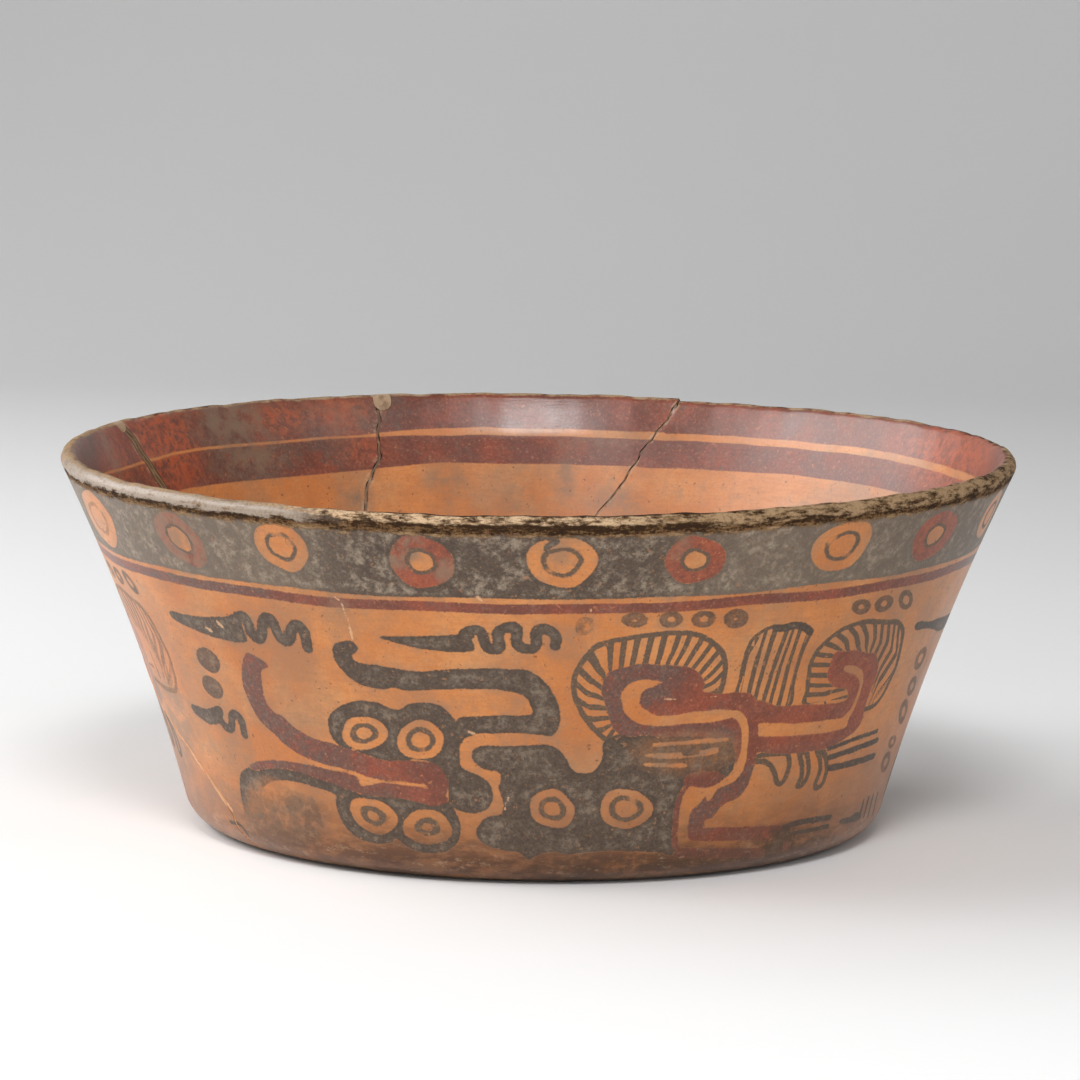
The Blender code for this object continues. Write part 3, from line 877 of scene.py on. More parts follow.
RIGHT_FAN_STROKES = [
    [(806, 706), (826, 703.5), (841.7, 699)],
    [(809, 694.5), (824.6, 694.1), (836, 689.9)],
    [(808, 685.4), (820, 686), (831.7, 686.3)],
    [(809, 675), (818, 675.2), (828.1, 675.2)],
    [(810.5, 665), (819, 665), (828.9, 664.9)],
    [(814, 654), (824, 655.5), (833.9, 656.3)],
    [(824, 643), (832, 645.5), (838.9, 649)],
    [(836, 633), (846.5, 641), (848.1, 652)],
    [(849, 626), (857, 635.6), (859.5, 649)],
    [(862, 622.5), (867.4, 636), (866.5, 649.1)],
    [(875.5, 622), (875.5, 638.4), (870.3, 652)],
    [(883.1, 622), (881, 642), (875.3, 654)],
    [(889.6, 622), (888.1, 640.6), (878.1, 661.3)],
    [(895, 623), (891.5, 650), (879, 671.5)],
    [(899, 624), (897, 652), (876.7, 684.1)],
    [(903, 628), (895, 671), (872, 702)],
]
HEAD_RED = [
    (606.7, 674.5), (615.2, 670.3), (627.8, 666.9), (640.4, 664.4), (661.7, 665.4), (677.8, 665.4),
    (692.6, 668.9), (701, 676.2), (704.5, 684), (702, 691), (719.2, 694.1), (736.4, 693), (752.5, 695.3),
    (756, 703.3), (758.5, 712), (757.5, 740), (756.5, 752), (754.5, 764), (750.2, 777.9), (745.6, 788.2),
    (737.6, 797.4), (723.8, 803.7), (719.2, 808), (712, 817.5), (704.3, 820.4), (702.8, 826.3),
    (690.2, 835.5), (688, 832), (689.1, 820.5), (692.5, 810.2), (700.5, 803.3), (706, 795), (710, 787),
    (722.3, 780.4), (732.7, 770), (735, 757), (733, 745), (727, 739), (690, 737), (660, 737.5),
    (645, 735), (630, 736.5), (617, 732), (611, 722), (608.9, 714.8), (604.3, 699.9), (602, 688.4),
]
CHEEK_RED = [(684, 782), (690, 773), (712, 771), (724, 776), (712, 786), (698, 788), (686, 793)]
RED_RIGHT = [
    (755, 703), (777.8, 706.8), (804.2, 704.8), (823.8, 704.8), (841.7, 702.5), (848.1, 697.7),
    (847.4, 689.1), (840.3, 687.7), (833.1, 684.9), (828.1, 676.3), (830.3, 665.6), (836, 652.7),
    (846, 652), (857.4, 650.6), (867.4, 653.4), (876, 654.9), (878.1, 666.3), (876, 676.3),
    (871.7, 687), (868.1, 697.7), (864.6, 708.4), (862, 720.1), (855.7, 730.3), (841.6, 740.5),
    (826.3, 748.2), (811, 750.7), (785.5, 753.5), (760, 752), (754, 752),
]
SCROLL = [
    (662.8, 681.5), (643.3, 679.2), (629.5, 683.8), (621.5, 693), (621.5, 703.3), (626.1, 714.8),
    (635.3, 722.8), (646.8, 725.7), (666.3, 726.3), (689.2, 724), (708.9, 722.8), (727.2, 719.4),
    (735, 718.9), (740.7, 728.7), (741.3, 743.6), (738.4, 757.4), (732.7, 770), (722.3, 780.4),
    (708.6, 787.2), (700.5, 787.2), (690, 786), (683.3, 795.3), (679.9, 805.6), (678.7, 814.8),
    (677.8, 826), (677.6, 838), (679.5, 845.8), (700, 847), (740, 847), (766, 846.5), (766, 841.5),
    (740, 841.2), (700, 841.4), (690, 840), (688, 832), (689.1, 820.5), (692.5, 810.2), (699.5, 803.3),
    (703.5, 795), (707, 801.5), (712, 799), (718, 789.5), (732.7, 782.7), (743, 771.2), (747, 757.4),
    (748.2, 745.9), (749.3, 728.7), (746.5, 717.2), (741, 711.5), (734.1, 709.6), (720, 709.1),
    (695, 711.4), (672, 714.8), (657.1, 714.8), (649.1, 711.4), (641, 705.6), (640.4, 698.7),
    (643.3, 691.8), (652.5, 687.2),
]
RIGHT_SCROLL = [
    (843.9, 669.1), (845.3, 666.3), (853.1, 665.2), (860.3, 667.7), (863.9, 672.7), (863.9, 680.6),
    (861.7, 690.6), (858.1, 700.6), (854.6, 709.9), (849.3, 718.5), (846.7, 726.5), (839.1, 730.3),
    (817.4, 734.1), (791.9, 736), (759.5, 736.6), (758.5, 730), (759.5, 723), (777.8, 722.7),
    (798.3, 722.7), (823.8, 720.1), (841.6, 717.6), (848, 711.5), (851, 708.4), (855.3, 699.1),
    (858.9, 689.1), (859.2, 681.3), (856.7, 676.3), (851.7, 673.8), (845.3, 672),
]
EYE = [
    (644.3, 756.3), (652, 753.5), (681, 752.5), (700, 750.5), (716.6, 747.5), (717.5, 753), (700, 756.5),
    (681, 758.3), (655, 759),
]
PUPIL = [(685, 753.6), (697, 752.6)]
PUPIL_WIDTH = 0.0016
EYE_LINES = [[(660.4, 749.9), (690, 746.8), (712, 743.6)], [(644, 758.5), (660, 760.2), (678, 759.6)]]
EYE_LINE_WIDTH = 0.0010
EYE_STREAKS = [[(653.5, 744.8), (690, 742.5), (727, 739)], [(645.4, 764.5), (685.6, 765.4)]]
STREAK_WIDTH = 0.0012
EYE_SMUDGE = [(640, 754), (685, 736), (732, 748), (690, 772)]
EYE_WEAR = 0.25
EYE_DIRT = 0.55
UPPER_BAR = [
    (689.4, 839.9), (692, 834), (704.3, 828.4), (740, 827), (782.3, 825.5), (788, 830), (780, 837),
    (769.7, 839.5), (740, 840.2),
]
LOWER_BAR = [
    (674.4, 855.9), (679, 847.5), (686, 848), (740, 848), (768, 847.4), (772, 840), (780, 835),
    (787, 836), (788, 848), (766.3, 855.9), (730, 857), (700, 857.5),
]
BAR_LINES = [
    (0.0019, [(784, 828), (795, 823.5), (810, 820.5), (830, 817.5)]),
    (0.0014, [(786, 834.5), (800, 832), (815, 829), (829, 826)]),
]
SHORT_BAR = [
    (839, 824), (841.5, 819), (850, 816.5), (857, 812), (861.5, 815), (857.5, 820.5), (848, 823),
]
SHORT_BAR_LINES = [
    [(859.3, 818.3), (863.6, 800.9)], [(863.6, 817.4), (868.8, 797.5)], [(867.9, 816.5), (873.1, 795.7)],
    [(872.3, 815.7), (877.5, 793.1)],
]
SHORT_LINE_WIDTH = 0.0014
TONGUES = [
    [(754, 763.5), (763, 764.3), (769.3, 768.9), (772.6, 775.8), (774, 783), (777.9, 787), (785, 782.7),
     (790.5, 769.5), (791.8, 760), (788, 751), (770, 751.5), (754, 755)],
    [(797, 755), (800, 767.9), (798.7, 778.2), (795, 787), (800, 789), (806, 783.5), (810.5, 773.6),
     (811, 763.3), (808, 750), (797, 750)],
    [(815, 753), (818, 762.1), (818, 772.5), (813, 785.1), (815, 791), (823, 786), (828, 773.6),
     (829, 764.4), (826, 750), (815, 749)],
]
TONGUE_LINE = 0.0016
SIDE_LINES = [
    (0.0014, [(828.4, 749), (854.8, 739), (877.2, 731)]),
    (0.0019, [(829.5, 757.6), (854.8, 748.9), (877.2, 740.2)]),
    (0.0021, [(829.5, 768), (854.8, 762.3), (873.7, 756)]),
]
CORNER = [(764, 855), (768, 846), (773, 838), (780, 831), (789, 829), (790, 836), (783, 842), (776, 852)]
CORNER_SMUDGE = [(758, 848), (776, 836), (794, 840), (776, 858)]
CORNER_WEAR = 0.2
CORNER_CRUSTS = [
    (0.45, [(664, 857), (720, 847), (800, 852), (730, 865)]),
    (0.8, [(758, 850), (774, 830), (797, 832), (784, 856)]),
    (0.5, [(788, 842), (812, 830), (834, 837), (810, 849)]),
    (0.6, [(540, 868), (620, 858), (700, 864), (630, 878)]),
]
HEAD_DUSK = [
    (0.9, [(600, 695), (630, 660), (680, 672), (640, 705)]),
    (0.8, [(596, 712), (616, 690), (650, 730), (622, 742)]),
    (0.6, [(640, 732), (690, 722), (742, 736), (690, 742)]),
    (0.8, [(690, 812), (712, 796), (728, 808), (704, 832)]),
    (0.8, [(715, 790), (742, 770), (758, 775), (735, 805)]),
    (0.5, [(770, 752), (810, 742), (850, 742), (810, 755)]),
    (0.3, [(672, 852), (720, 846), (770, 850), (720, 858)]),
]
RIGHT_ARM_SMUDGE = [(750, 712), (812, 650), (884, 690), (812, 756)]
RIGHT_ARM_RUST = 0.3
FAR_FAN_SMUDGE = [(800, 665), (855, 612), (912, 655), (850, 722)]
FAR_FAN_WEAR = 0.35

tongue(FAN_LINE, FAN)
feathered(FAN_STROKES)
tongue(TUFT_LINE, TUFT)
feathered(TUFT_STROKES)
stroke("black", TUFT_TOP_WIDTH, TUFT_TOP)
tongue(FAN_LINE, RIGHT_FAN)
feathered(RIGHT_FAN_STROKES)
for pixels in TONGUES:
    tongue(TONGUE_LINE, pixels)
for pixels in (HEAD_RED, CHEEK_RED, UPPER_BAR, LOWER_BAR):
    area("red", pixels)
area("red", RED_RIGHT, ARM_TURNS)
area("ground", SCROLL)
cleared(FAN_LINE, SCROLL)
area("ground", RIGHT_SCROLL, ARM_TURNS)
cleared(FAN_LINE, RIGHT_SCROLL, ARM_TURNS)
area("ground", EYE)
stroke("black", PUPIL_WIDTH, PUPIL)
for pixels in EYE_LINES:
    stroke("black", EYE_LINE_WIDTH, pixels)
for pixels in EYE_STREAKS:
    stroke("ground", STREAK_WIDTH, pixels)
smudge(faded, EYE_WEAR, EYE_SMUDGE)
smudge(stained, EYE_DIRT, EYE_SMUDGE)
for strength, pixels in HEAD_DUSK:
    smudge(dusky, strength, pixels)
smudge(rusty, RIGHT_ARM_RUST, RIGHT_ARM_SMUDGE)
for width, pixels in BAR_LINES + SIDE_LINES:
    stroke("black", width, pixels, FAR_TURNS)
area("black", SHORT_BAR, FAR_TURNS)
for pixels in SHORT_BAR_LINES:
    stroke("black", SHORT_LINE_WIDTH, pixels, FAR_TURNS)
area("black", CORNER, FAR_TURNS)
smudge(faded, CORNER_WEAR, CORNER_SMUDGE)
for strength, pixels in CORNER_CRUSTS:
    smudge(crusted, strength, pixels, SEEN_TURN)
smudge(faded, FAR_FAN_WEAR, FAR_FAN_SMUDGE, TURNS[2:])

# Ringed circles on the lobes and the body: left, top, right and bottom, and the shares of the dark ring
BODY_RINGS = [
    ([(342, 733), (364, 716), (386, 733), (364, 750)], 0.34, 0.64),
    ([(396.5, 739.5), (420.5, 721), (444.5, 740), (420.5, 758.6)], 0.40, 0.66),
    ([(350.9, 813), (370, 798), (396.8, 818), (377, 833)], 0.22, 0.58),
    ([(403.6, 825), (426, 810), (450.5, 827), (430, 845.6)], 0.20, 0.56),
    ([(528.8, 806), (551.8, 790.3), (575, 811), (553, 827.5)], 0.36, 0.64),
    ([(600.1, 808), (626, 789), (650.6, 808), (626, 829.5)], 0.42, 0.68),
]
for pixels, centre_share, dark_share in BODY_RINGS:
    ringed(on_wall(pixels), centre_share, dark_share, "ground", TURNS)

# The bands under the rim, by height, and the ringed circles on the black one, orange and red in turn
BLACK_BAND = (0.0805, 0.1010)
RED_STRIPE = (0.0766, 0.0791)
BAND_WANDER = 0.00035
BLACK_WAVE = 2  # how often each band rises and falls on its way round, at the least
RED_WAVE = 3
WANDER_WAVES = 3
WANDER_STEP = 7  # from one wave to the next
ORANGE_RING = (0.45, 0.59)  # from where to where the dark ring runs, in shares of the circle
RED_RING = (0.38, 0.49)
WORN_RING = (0.48, 0.52)
RIM_CIRCLES = [
    ("ground", ORANGE_RING, [(90.5, 517), (89.3, 490.3), (110, 517), (116.8, 545.4)]),
    ("red", WORN_RING, [(156, 530), (172, 512.5), (204, 549), (189, 562)]),
    ("ground", ORANGE_RING, [(252.9, 536), (281, 527), (308, 551), (282, 571.5)]),
    ("red", RED_RING, [(387.9, 558), (420, 537.5), (454.2, 563), (422, 588)]),
    ("ground", ORANGE_RING, [(527.2, 563), (562, 537), (597.2, 560), (562, 587.5)]),
    ("red", RED_RING, [(664, 562), (695.5, 538), (726.5, 556), (694.5, 583)]),
    ("ground", ORANGE_RING, [(813.5, 555), (846, 521.5), (872.5, 535), (839, 570.5)]),
    ("red", RED_RING, [(912.5, 545), (937, 514), (956, 523), (931, 557)]),
]
RING_BREACH = [
    (543, 549), (548, 542.5), (556, 538.5), (561, 541), (557, 545.5), (551, 548.5), (547, 553),
]
CIRCLE_STAINS = [
    (0.8, [(380, 552), (398, 534), (418, 546), (400, 566)]),
    (0.7, [(436, 572), (446, 560), (456, 570), (446, 584)]),
    (0.7, [(150, 528), (172, 508), (208, 549), (189, 566)]),
    (0.5, [(660, 548), (676, 536), (690, 546), (676, 560)]),
    (0.5, [(544, 562), (562, 548), (580, 562), (562, 576)]),
]
EDGE_RING_SMUDGE = [(92, 517), (93, 499), (108, 517), (113, 537)]
EDGE_RING_WEAR = 0.55
CIRCLE_RUST = 0.45
FAR_CIRCLES = 14  # the rest, out of sight, evenly spaced from the right edge to the left one
FAR_CIRCLE_START = radians(72.6)
FAR_CIRCLE_STEP = radians(15.66)
FAR_CIRCLE_HEIGHT = 0.0907
FAR_CIRCLE_ACROSS = 0.0084
FAR_CIRCLE_UP = 0.0070


def wandering(azimuths, amount, first_wave):
    """The unsteadiness of a line drawn by hand on a turning pot."""
    total = 0
    for step in range(WANDER_WAVES):
        total = total + np.sin((first_wave + WANDER_STEP * step) * azimuths + step * first_wave)
    return amount * total / 2


def band(finish, rows, low, high, wander, first_wave):
    """A stripe round the bowl between two heights."""
    centre = (low + high) / 2 + wandering(azimuths[rows], wander, first_wave)
    lay(finish, rows, (np.abs(heights[rows] - centre) - (high - low) / 2) / cos(lip_slope))


upper_rows = outer_rows[heights[outer_rows] > RED_STRIPE[0] - FAR]
band("red", upper_rows, *RED_STRIPE, BAND_WANDER, RED_WAVE)
band("black", upper_rows, *BLACK_BAND, BAND_WANDER, BLACK_WAVE)
for finish, shares, pixels in RIM_CIRCLES:
    ringed(on_wall(pixels), *shares, finish, SEEN_TURN)
    if finish == "red":
        smudge(rusty, CIRCLE_RUST, pixels, SEEN_TURN)
area("black", RING_BREACH, SEEN_TURN)
for strength, pixels in CIRCLE_STAINS:
    smudge(stained, strength, pixels, SEEN_TURN)
smudge(faded, EDGE_RING_WEAR, EDGE_RING_SMUDGE, SEEN_TURN)
for count in range(FAR_CIRCLES):
    finish, shares = (("ground", ORANGE_RING), ("red", RED_RING))[count % 2]
    azimuth = FAR_CIRCLE_START + count * FAR_CIRCLE_STEP
    if azimuth > pi:
        azimuth -= 2 * pi
    run = np.interp(FAR_CIRCLE_HEIGHT, wall_heights, wall_runs)
    reach = FAR_CIRCLE_ACROSS / RIM_RADIUS
    corners = np.stack([
        unrolled(azimuth - reach, run), unrolled(azimuth, run + FAR_CIRCLE_UP),
        unrolled(azimuth + reach, run), unrolled(azimuth, run - FAR_CIRCLE_UP),
    ])
    ringed(corners, *shares, finish, SEEN_TURN)

# Scratches through the paint, each with its width
SCRATCHES = [
    (0.0006, [(335, 597), (343, 607), (353, 640)]),
    (0.0010, [(190.8, 750), (197.5, 761.7), (206.7, 773.3), (218.3, 791.7), (226.7, 803.3)]),
    (0.0016, [(222, 797), (231.7, 810)]),
    (0.0008, [(477, 597), (481, 601)]),
    (0.0006, [(593, 608), (588, 616)]),
    (0.0006, [(508, 797), (505, 810)]),
    (0.0011, [(218, 622), (223.5, 627)]),
    (0.0009, [(207, 628), (212.5, 630.5)]),
    (0.0006, [(466, 731), (478, 735)]),
    (0.0005, [(663, 698), (680.8, 700.2), (708.6, 698.1), (717, 696.8)]),
]
for width, pixels in SCRATCHES:
    line = curved(on_wall(pixels), False)
    for rows, points in near(line, SEEN_TURN):
        gap = from_line(points, line, np.full(len(line), width))
        painted["pale"][rows] = np.minimum(painted["pale"][rows], gap)

# Marks inside: azimuth and height, how far each reaches in degrees and millimetres, and its strength
GREY_MARKS = [
    (-133.0, 98.0, 6.0, 5.0, 0.9), (-135.0, 87.0, 6.0, 4.0, 0.8), (-151.0, 97.0, 5.0, 4.0, 0.4),
    (-103.0, 96.0, 1.6, 5.0, 0.9), (-152.0, 74.0, 2.5, 3.0, 0.8), (-177.0, 73.0, 2.5, 2.5, 0.7),
    (176.0, 80.0, 1.4, 6.0, 0.7), (167.6, 73.0, 3.0, 3.0, 0.7), (-166.0, 79.0, 3.0, 3.0, 0.6),
    (172.0, 89.0, 6.0, 2.0, 0.4),
]
RUSTY_MARKS = [
    (-118.0, 95.0, 7.0, 12.0, 1.0), (-104.0, 95.0, 4.0, 9.0, 0.8), (-142.0, 98.0, 4.0, 4.0, 0.9),
    (-151.0, 99.0, 5.0, 4.0, 0.8), (-154.0, 88.0, 4.0, 4.0, 0.5), (108.0, 96.0, 13.0, 8.0, 0.9),
]
MARK_REACH = 1.6  # in shares of what each reaches
MILLIMETRES = 1000
inner_rows = np.flatnonzero(beyond_lip > 0)
for field, marks in ((stained, GREY_MARKS), (rusty, RUSTY_MARKS)):
    for degrees, mark_height, reach, rise, strength in marks:
        turned = np.degrees(azimuths[inner_rows] - radians(degrees) + pi) % 360 - 180
        share = np.hypot(turned / reach, (heights[inner_rows] * MILLIMETRES - mark_height) / rise)
        cover = strength * np.clip(MARK_REACH - share, 0, 1)
        field[inner_rows] = np.maximum(field[inner_rows], cover)

# How far each vertex is from a break, measured by how far dirt and filler have spread along it
seams = np.full(len(spots), FAR)
filled = np.full(len(spots), FAR)  # how far from the break that is filled level with its edges
LEFT_SPREAD = 1.8
BACK_LEFT_SPREAD = 1.0
BACK_RIGHT_SPREAD = 0.6
for path, spread in (
    (left_break, LEFT_SPREAD),
    (back_left_break, BACK_LEFT_SPREAD),
    (back_right_break, BACK_RIGHT_SPREAD),
):
    for side in (outside, inside):
        line = in_space(path[:, 0], *side(np.minimum(path[:, 1], 3)).T)
        close = np.flatnonzero(((spots > line.min(0) - FAR) & (spots < line.max(0) + FAR)).all(1))
        gap = from_line(spots[close], line, np.zeros(len(line)))
        seams[close] = np.minimum(seams[close], gap / spread)
        if path is left_break:
            filled[close] = np.minimum(filled[close], gap)

# How the lip has worn round the bowl: bare at the far left, grey slip left on the near left, cream in
# front and chipped all over on the right
BARE_FROM = radians(-124)
BARE_TO = radians(-70)
KEPT_SLIP_FROM = radians(-92)
KEPT_SLIP_TO = radians(-20)
CHIPPED_FROM = radians(12)
CHIPPED_TO = radians(110)
CREAM_FROM = radians(-34)
CREAM_TO = radians(18)
CROWN_FRONT = -1.2  # mm inwards of the top: where the lip is rubbed to bare clay at the front
CROWN_LEFT = 0.9
CROWN_BACK = 1.0
FRONT_FROM = radians(-98)
FRONT_TO = radians(124)
POLISHED_FROM = radians(88)  # inside on the right, where the burnish is best kept
POLISHED_TO = radians(180)
INSIDE_LEFT_FROM = radians(-166)  # where the bands inside run lower and thinner
INSIDE_LEFT_TO = radians(-60)
WEAR_SOFTNESS = radians(12)
FRONT_GRIME_AND_SHADE_MIDDLE = radians(12)  # where the wall above the foot is darkest: painted shade, streaked like dirt
FRONT_GRIME_AND_SHADE_REACH = radians(71)
FRONT_GRIME_AND_SHADE_RISE = 2.0


def between(azimuths, low, high):
    """1 between two azimuths, falling softly to 0 beyond them."""
    rise = np.clip((azimuths - low) / WEAR_SOFTNESS, 0, 1)
    fall = np.clip((high - azimuths) / WEAR_SOFTNESS, 0, 1)
    return rise * fall


fields = {name: np.clip(values, -FAR, FAR) * MILLIMETRES for name, values in painted.items()}
fields.update(outlined=outlined, feathers=feathers, rings=rings, faded=faded, dusky=dusky)
fields.update(stained=stained, rusty=rusty, crusted=crusted)
fields["filled"] = filled * MILLIMETRES
fields["bare"] = between(azimuths, BARE_FROM, BARE_TO)
# Painted shade: the dark brown above the foot is strongest in front
in_front_grime_and_shade = np.cos(azimuths - FRONT_GRIME_AND_SHADE_MIDDLE) - cos(FRONT_GRIME_AND_SHADE_REACH)
fields["front_grime_and_shade"] = np.clip(FRONT_GRIME_AND_SHADE_RISE * in_front_grime_and_shade, 0, 1)
fields["polished"] = between(azimuths, POLISHED_FROM, POLISHED_TO)
fields["kept_slip"] = between(azimuths, KEPT_SLIP_FROM, KEPT_SLIP_TO)
fields["chipped"] = between(azimuths, CHIPPED_FROM, CHIPPED_TO)
fields["cream"] = between(azimuths, CREAM_FROM, CREAM_TO)
at_back = 1 - between(azimuths, FRONT_FROM, FRONT_TO)
fields["crown"] = CROWN_FRONT + (CROWN_LEFT - CROWN_FRONT) * fields["kept_slip"]
fields["crown"] += (CROWN_BACK - CROWN_FRONT) * at_back
fields["inside_left"] = between(azimuths, INSIDE_LEFT_FROM, INSIDE_LEFT_TO)
fields.update(lip=beyond_lip * MILLIMETRES, seam=seams * MILLIMETRES, height=heights * MILLIMETRES)
for name, values in fields.items():
    clay.attributes.new(name, "FLOAT", "POINT").data.foreach_set("value", values)


# Pushing the clay out of true, all pieces alike, by waves round the bowl: how many, how deep, which turn
DENTS = ((2, 0.00030, 0.7), (3, 0.00022, 2.1), (5, 0.00015, 4.0), (9, 0.00008, 1.3))
DENT_LEAN = 2.0  # how far a dent turns on its way up the wall
LIP_DENTS = ((23, 0.00010, 0.4), (37, 0.00008, 2.6), (61, 0.00007, 1.1), (97, 0.00005, 3.3))
LIP_DENT_RISE = 12  # the higher, the closer these dents keep to the lip
BACK_STEP = 0.0008  # the rim of the main sherd lies lower along the back right break
BACK_STEP_REACH = radians(32)
BACK_STEP_RISE = 8
back_step_heights = outside([place for degrees, place in BACK_RIGHT_BREAK])[::-1, 1]
back_step_turns = np.radians([degrees + 360 for degrees, place in BACK_RIGHT_BREAK])[::-1]


def hand_made(points):
    """Carries points of the even bowl to where the uneven rim and the hand-built wall put them."""
    azimuth = np.arctan2(points[:, 0], -points[:, 1])
    height = np.clip(points[:, 2] / HEIGHT, 0, 1)
    lean = DENT_LEAN * height
    swell = sum(depth * np.cos(waves * azimuth + turn + lean) for waves, depth, turn in DENTS)
    nicks = sum(depth * np.cos(waves * azimuth + turn) for waves, depth, turn in LIP_DENTS)
    grown = 1 + swell * height / RIM_RADIUS
    short = np.interp(points[:, 2], back_step_heights, back_step_turns) - azimuth
    sunk = BACK_STEP * np.clip(1 - short / BACK_STEP_REACH, 0, 1) * (short > 0)
    lifted = points[:, 2] * (1 + rim_lift(azimuth) / HEIGHT)
    lifted = lifted + nicks * height ** LIP_DENT_RISE - sunk * height ** BACK_STEP_RISE
    return np.stack((points[:, 0] * grown, points[:, 1] * grown, lifted), 1)


clay.vertices.foreach_set("co", hand_made(spots).ravel())

# The sherds: the bodies that the breaks leave, each told by a place well inside it
SHERDS = {
    "main_sherd": (20.0, 2.5),
    "left_sherd": (-95.0, 2.3),
    "back_left_sherd": (-136.0, 2.6),
    "back_sherd": (-176.0, 2.8),
}
SMOOTH_ANGLE = radians(40)


def separate_bodies(bm):
    """The vertices of each separate body in a mesh."""
    bodies = []
    seen = set()
    for seed in bm.verts:
        if seed in seen:
            continue
        seen.add(seed)
        body = [seed]
        for vert in body:
            for edge in vert.link_edges:
                other = edge.other_vert(vert)
                if other not in seen:
                    seen.add(other)
                    body.append(other)
        bodies.append([vert.index for vert in body])
    return bodies


bm = bmesh.new()
bm.from_mesh(clay)
bodies = separate_bodies(bm)
bm.free()
sherds = []
for name, (degrees, place) in SHERDS.items():
    middle = in_space(np.radians(degrees), *outside([place])[0])
    nearness = [np.linalg.norm(spots[body] - middle, axis=1).min() for body in bodies]
    kept = set(bodies[int(np.argmin(nearness))])
    bm = bmesh.new()
    bm.from_mesh(clay)
    bmesh.ops.delete(bm, geom=[vert for vert in bm.verts if vert.index not in kept], context="VERTS")
    sherd = add_object(name + "_clay", bm)
    sherd.data.shade_smooth()
    sherd.data.set_sharp_from_angle(angle=SMOOTH_ANGLE)
    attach(sherd, "root")
    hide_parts(name)
    sherds.append(sherd)
bpy.data.meshes.remove(clay)


class Finish:
    """A material and the short words to build its nodes with."""

    def __init__(self, name):
        self.material = bpy.data.materials.new(name)
        self.material.use_nodes = True
        self.tree = self.material.node_tree
        self.shader = self.tree.nodes["Principled BSDF"]
        self.where = self.tree.nodes.new("ShaderNodeTexCoord").outputs["Object"]

    def link(self, value, socket):
        if isinstance(value, bpy.types.NodeSocket):
            self.tree.links.new(value, socket)
        else:
            socket.default_value = value

    def field(self, name):
        node = self.tree.nodes.new("ShaderNodeAttribute")
        node.attribute_name = name
        return node.outputs["Fac"]

    def math(self, operation, *values):
        node = self.tree.nodes.new("ShaderNodeMath")
        node.operation = operation
        for value, socket in zip(values, node.inputs):
            self.link(value, socket)
        return node.outputs[0]

    def plus(self, one, other):
        return self.math("ADD", one, other)

    def times(self, *values):
        product = values[0]
        for value in values[1:]:
            product = self.math("MULTIPLY", product, value)
        return product

    def rest(self, share):
        """What a share leaves of 1."""
        return self.math("SUBTRACT", 1, share)

    def step(self, value, low, high):
        """0 where value is at low, 1 where it is at high, smooth between."""
        node = self.tree.nodes.new("ShaderNodeMapRange")
        node.interpolation_type = "SMOOTHSTEP"
        self.link(value, node.inputs["Value"])
        self.link(low, node.inputs["From Min"])
        self.link(high, node.inputs["From Max"])
        return node.outputs["Result"]

    def within(self, value, rise_from, rise_to, fall_from, fall_to):
        """1 between rise_to and fall_from, 0 before rise_from and after fall_to."""
        return self.times(self.step(value, rise_from, rise_to), self.step(value, fall_to, fall_from))

    def noise(self, size, detail=3.0, stretch=(1, 1, 1), roughness=0.55):
        """Noise between 0 and 1 with features of this size in metres."""
        mapping = self.tree.nodes.new("ShaderNodeMapping")
        mapping.inputs["Scale"].default_value = stretch
        self.tree.links.new(self.where, mapping.inputs["Vector"])
        node = self.tree.nodes.new("ShaderNodeTexNoise")
        self.tree.links.new(mapping.outputs["Vector"], node.inputs["Vector"])
        node.inputs["Scale"].default_value = 1 / size
        node.inputs["Detail"].default_value = detail
        node.inputs["Roughness"].default_value = roughness
        return node.outputs["Fac"]

    def mix(self, share, one, other, kind="RGBA"):
        """A mix of two colours."""
        node = self.tree.nodes.new("ShaderNodeMix")
        node.data_type = kind
        self.link(share, node.inputs["Factor"])
        self.link(one, node.inputs["A"])
        self.link(other, node.inputs["B"])
        return node.outputs["Result"]

    def blend(self, share, one, other):
        """A mix of two numbers."""
        return self.mix(share, one, other, "FLOAT")

    def coat(self, under, over, share, strength):
        """One colour over another, as far as both share and strength let it cover."""
        return self.mix(self.times(share, strength), under, over)

    def bump(self, height, strength, distance):
        node = self.tree.nodes.new("ShaderNodeBump")
        node.inputs["Strength"].default_value = strength
        node.inputs["Distance"].default_value = distance
        self.link(height, node.inputs["Height"])
        self.link(node.outputs["Normal"], self.shader.inputs["Normal"])


def colour(red, green, blue):
    """A colour as the eye reads it, from 0 to 255, as Blender's linear one."""
    shares = [value / 255 for value in (red, green, blue)]
    linear = [value / 12.92 if value < 0.04045 else ((value + 0.055) / 1.055) ** 2.4 for value in shares]
    return (*linear, 1)


# Slip-painted, burnished clay: orange ground, brick red and soft grey-black paint, worn at lip and foot
ORANGE = colour(204, 131, 71)
ORANGE_DEEP = colour(184, 110, 54)
ORANGE_PALE = colour(214, 151, 93)
RED = colour(114, 59, 43)
RED_BRIGHT = colour(144, 68, 43)
RED_PALE = colour(158, 104, 86)
RED_DUSKY = colour(100, 72, 62)
BLACK = colour(88, 70, 55)
BLACK_DEEP = colour(66, 52, 41)
BLACK_DUST_AND_LIGHT = colour(150, 134, 115)
LINE_BROWN = colour(108, 82, 58)
BROWN = colour(50, 33, 18)
PALE_CLAY = colour(196, 167, 134)
LIP_TAN = colour(156, 129, 98)
LIP_EARTH = colour(116, 86, 56)
LIP_GREY = colour(150, 135, 120)
SCRATCH = colour(214, 168, 126)
RUST = colour(178, 86, 47)
FOOT_BROWN = colour(124, 82, 54)
FOOT_GRIME_AND_SHADE = colour(76, 46, 26)
CRUST = colour(70, 49, 32)
FILLER = colour(142, 118, 84)
GREY_STAIN_AND_SHEEN = colour(130, 106, 85)

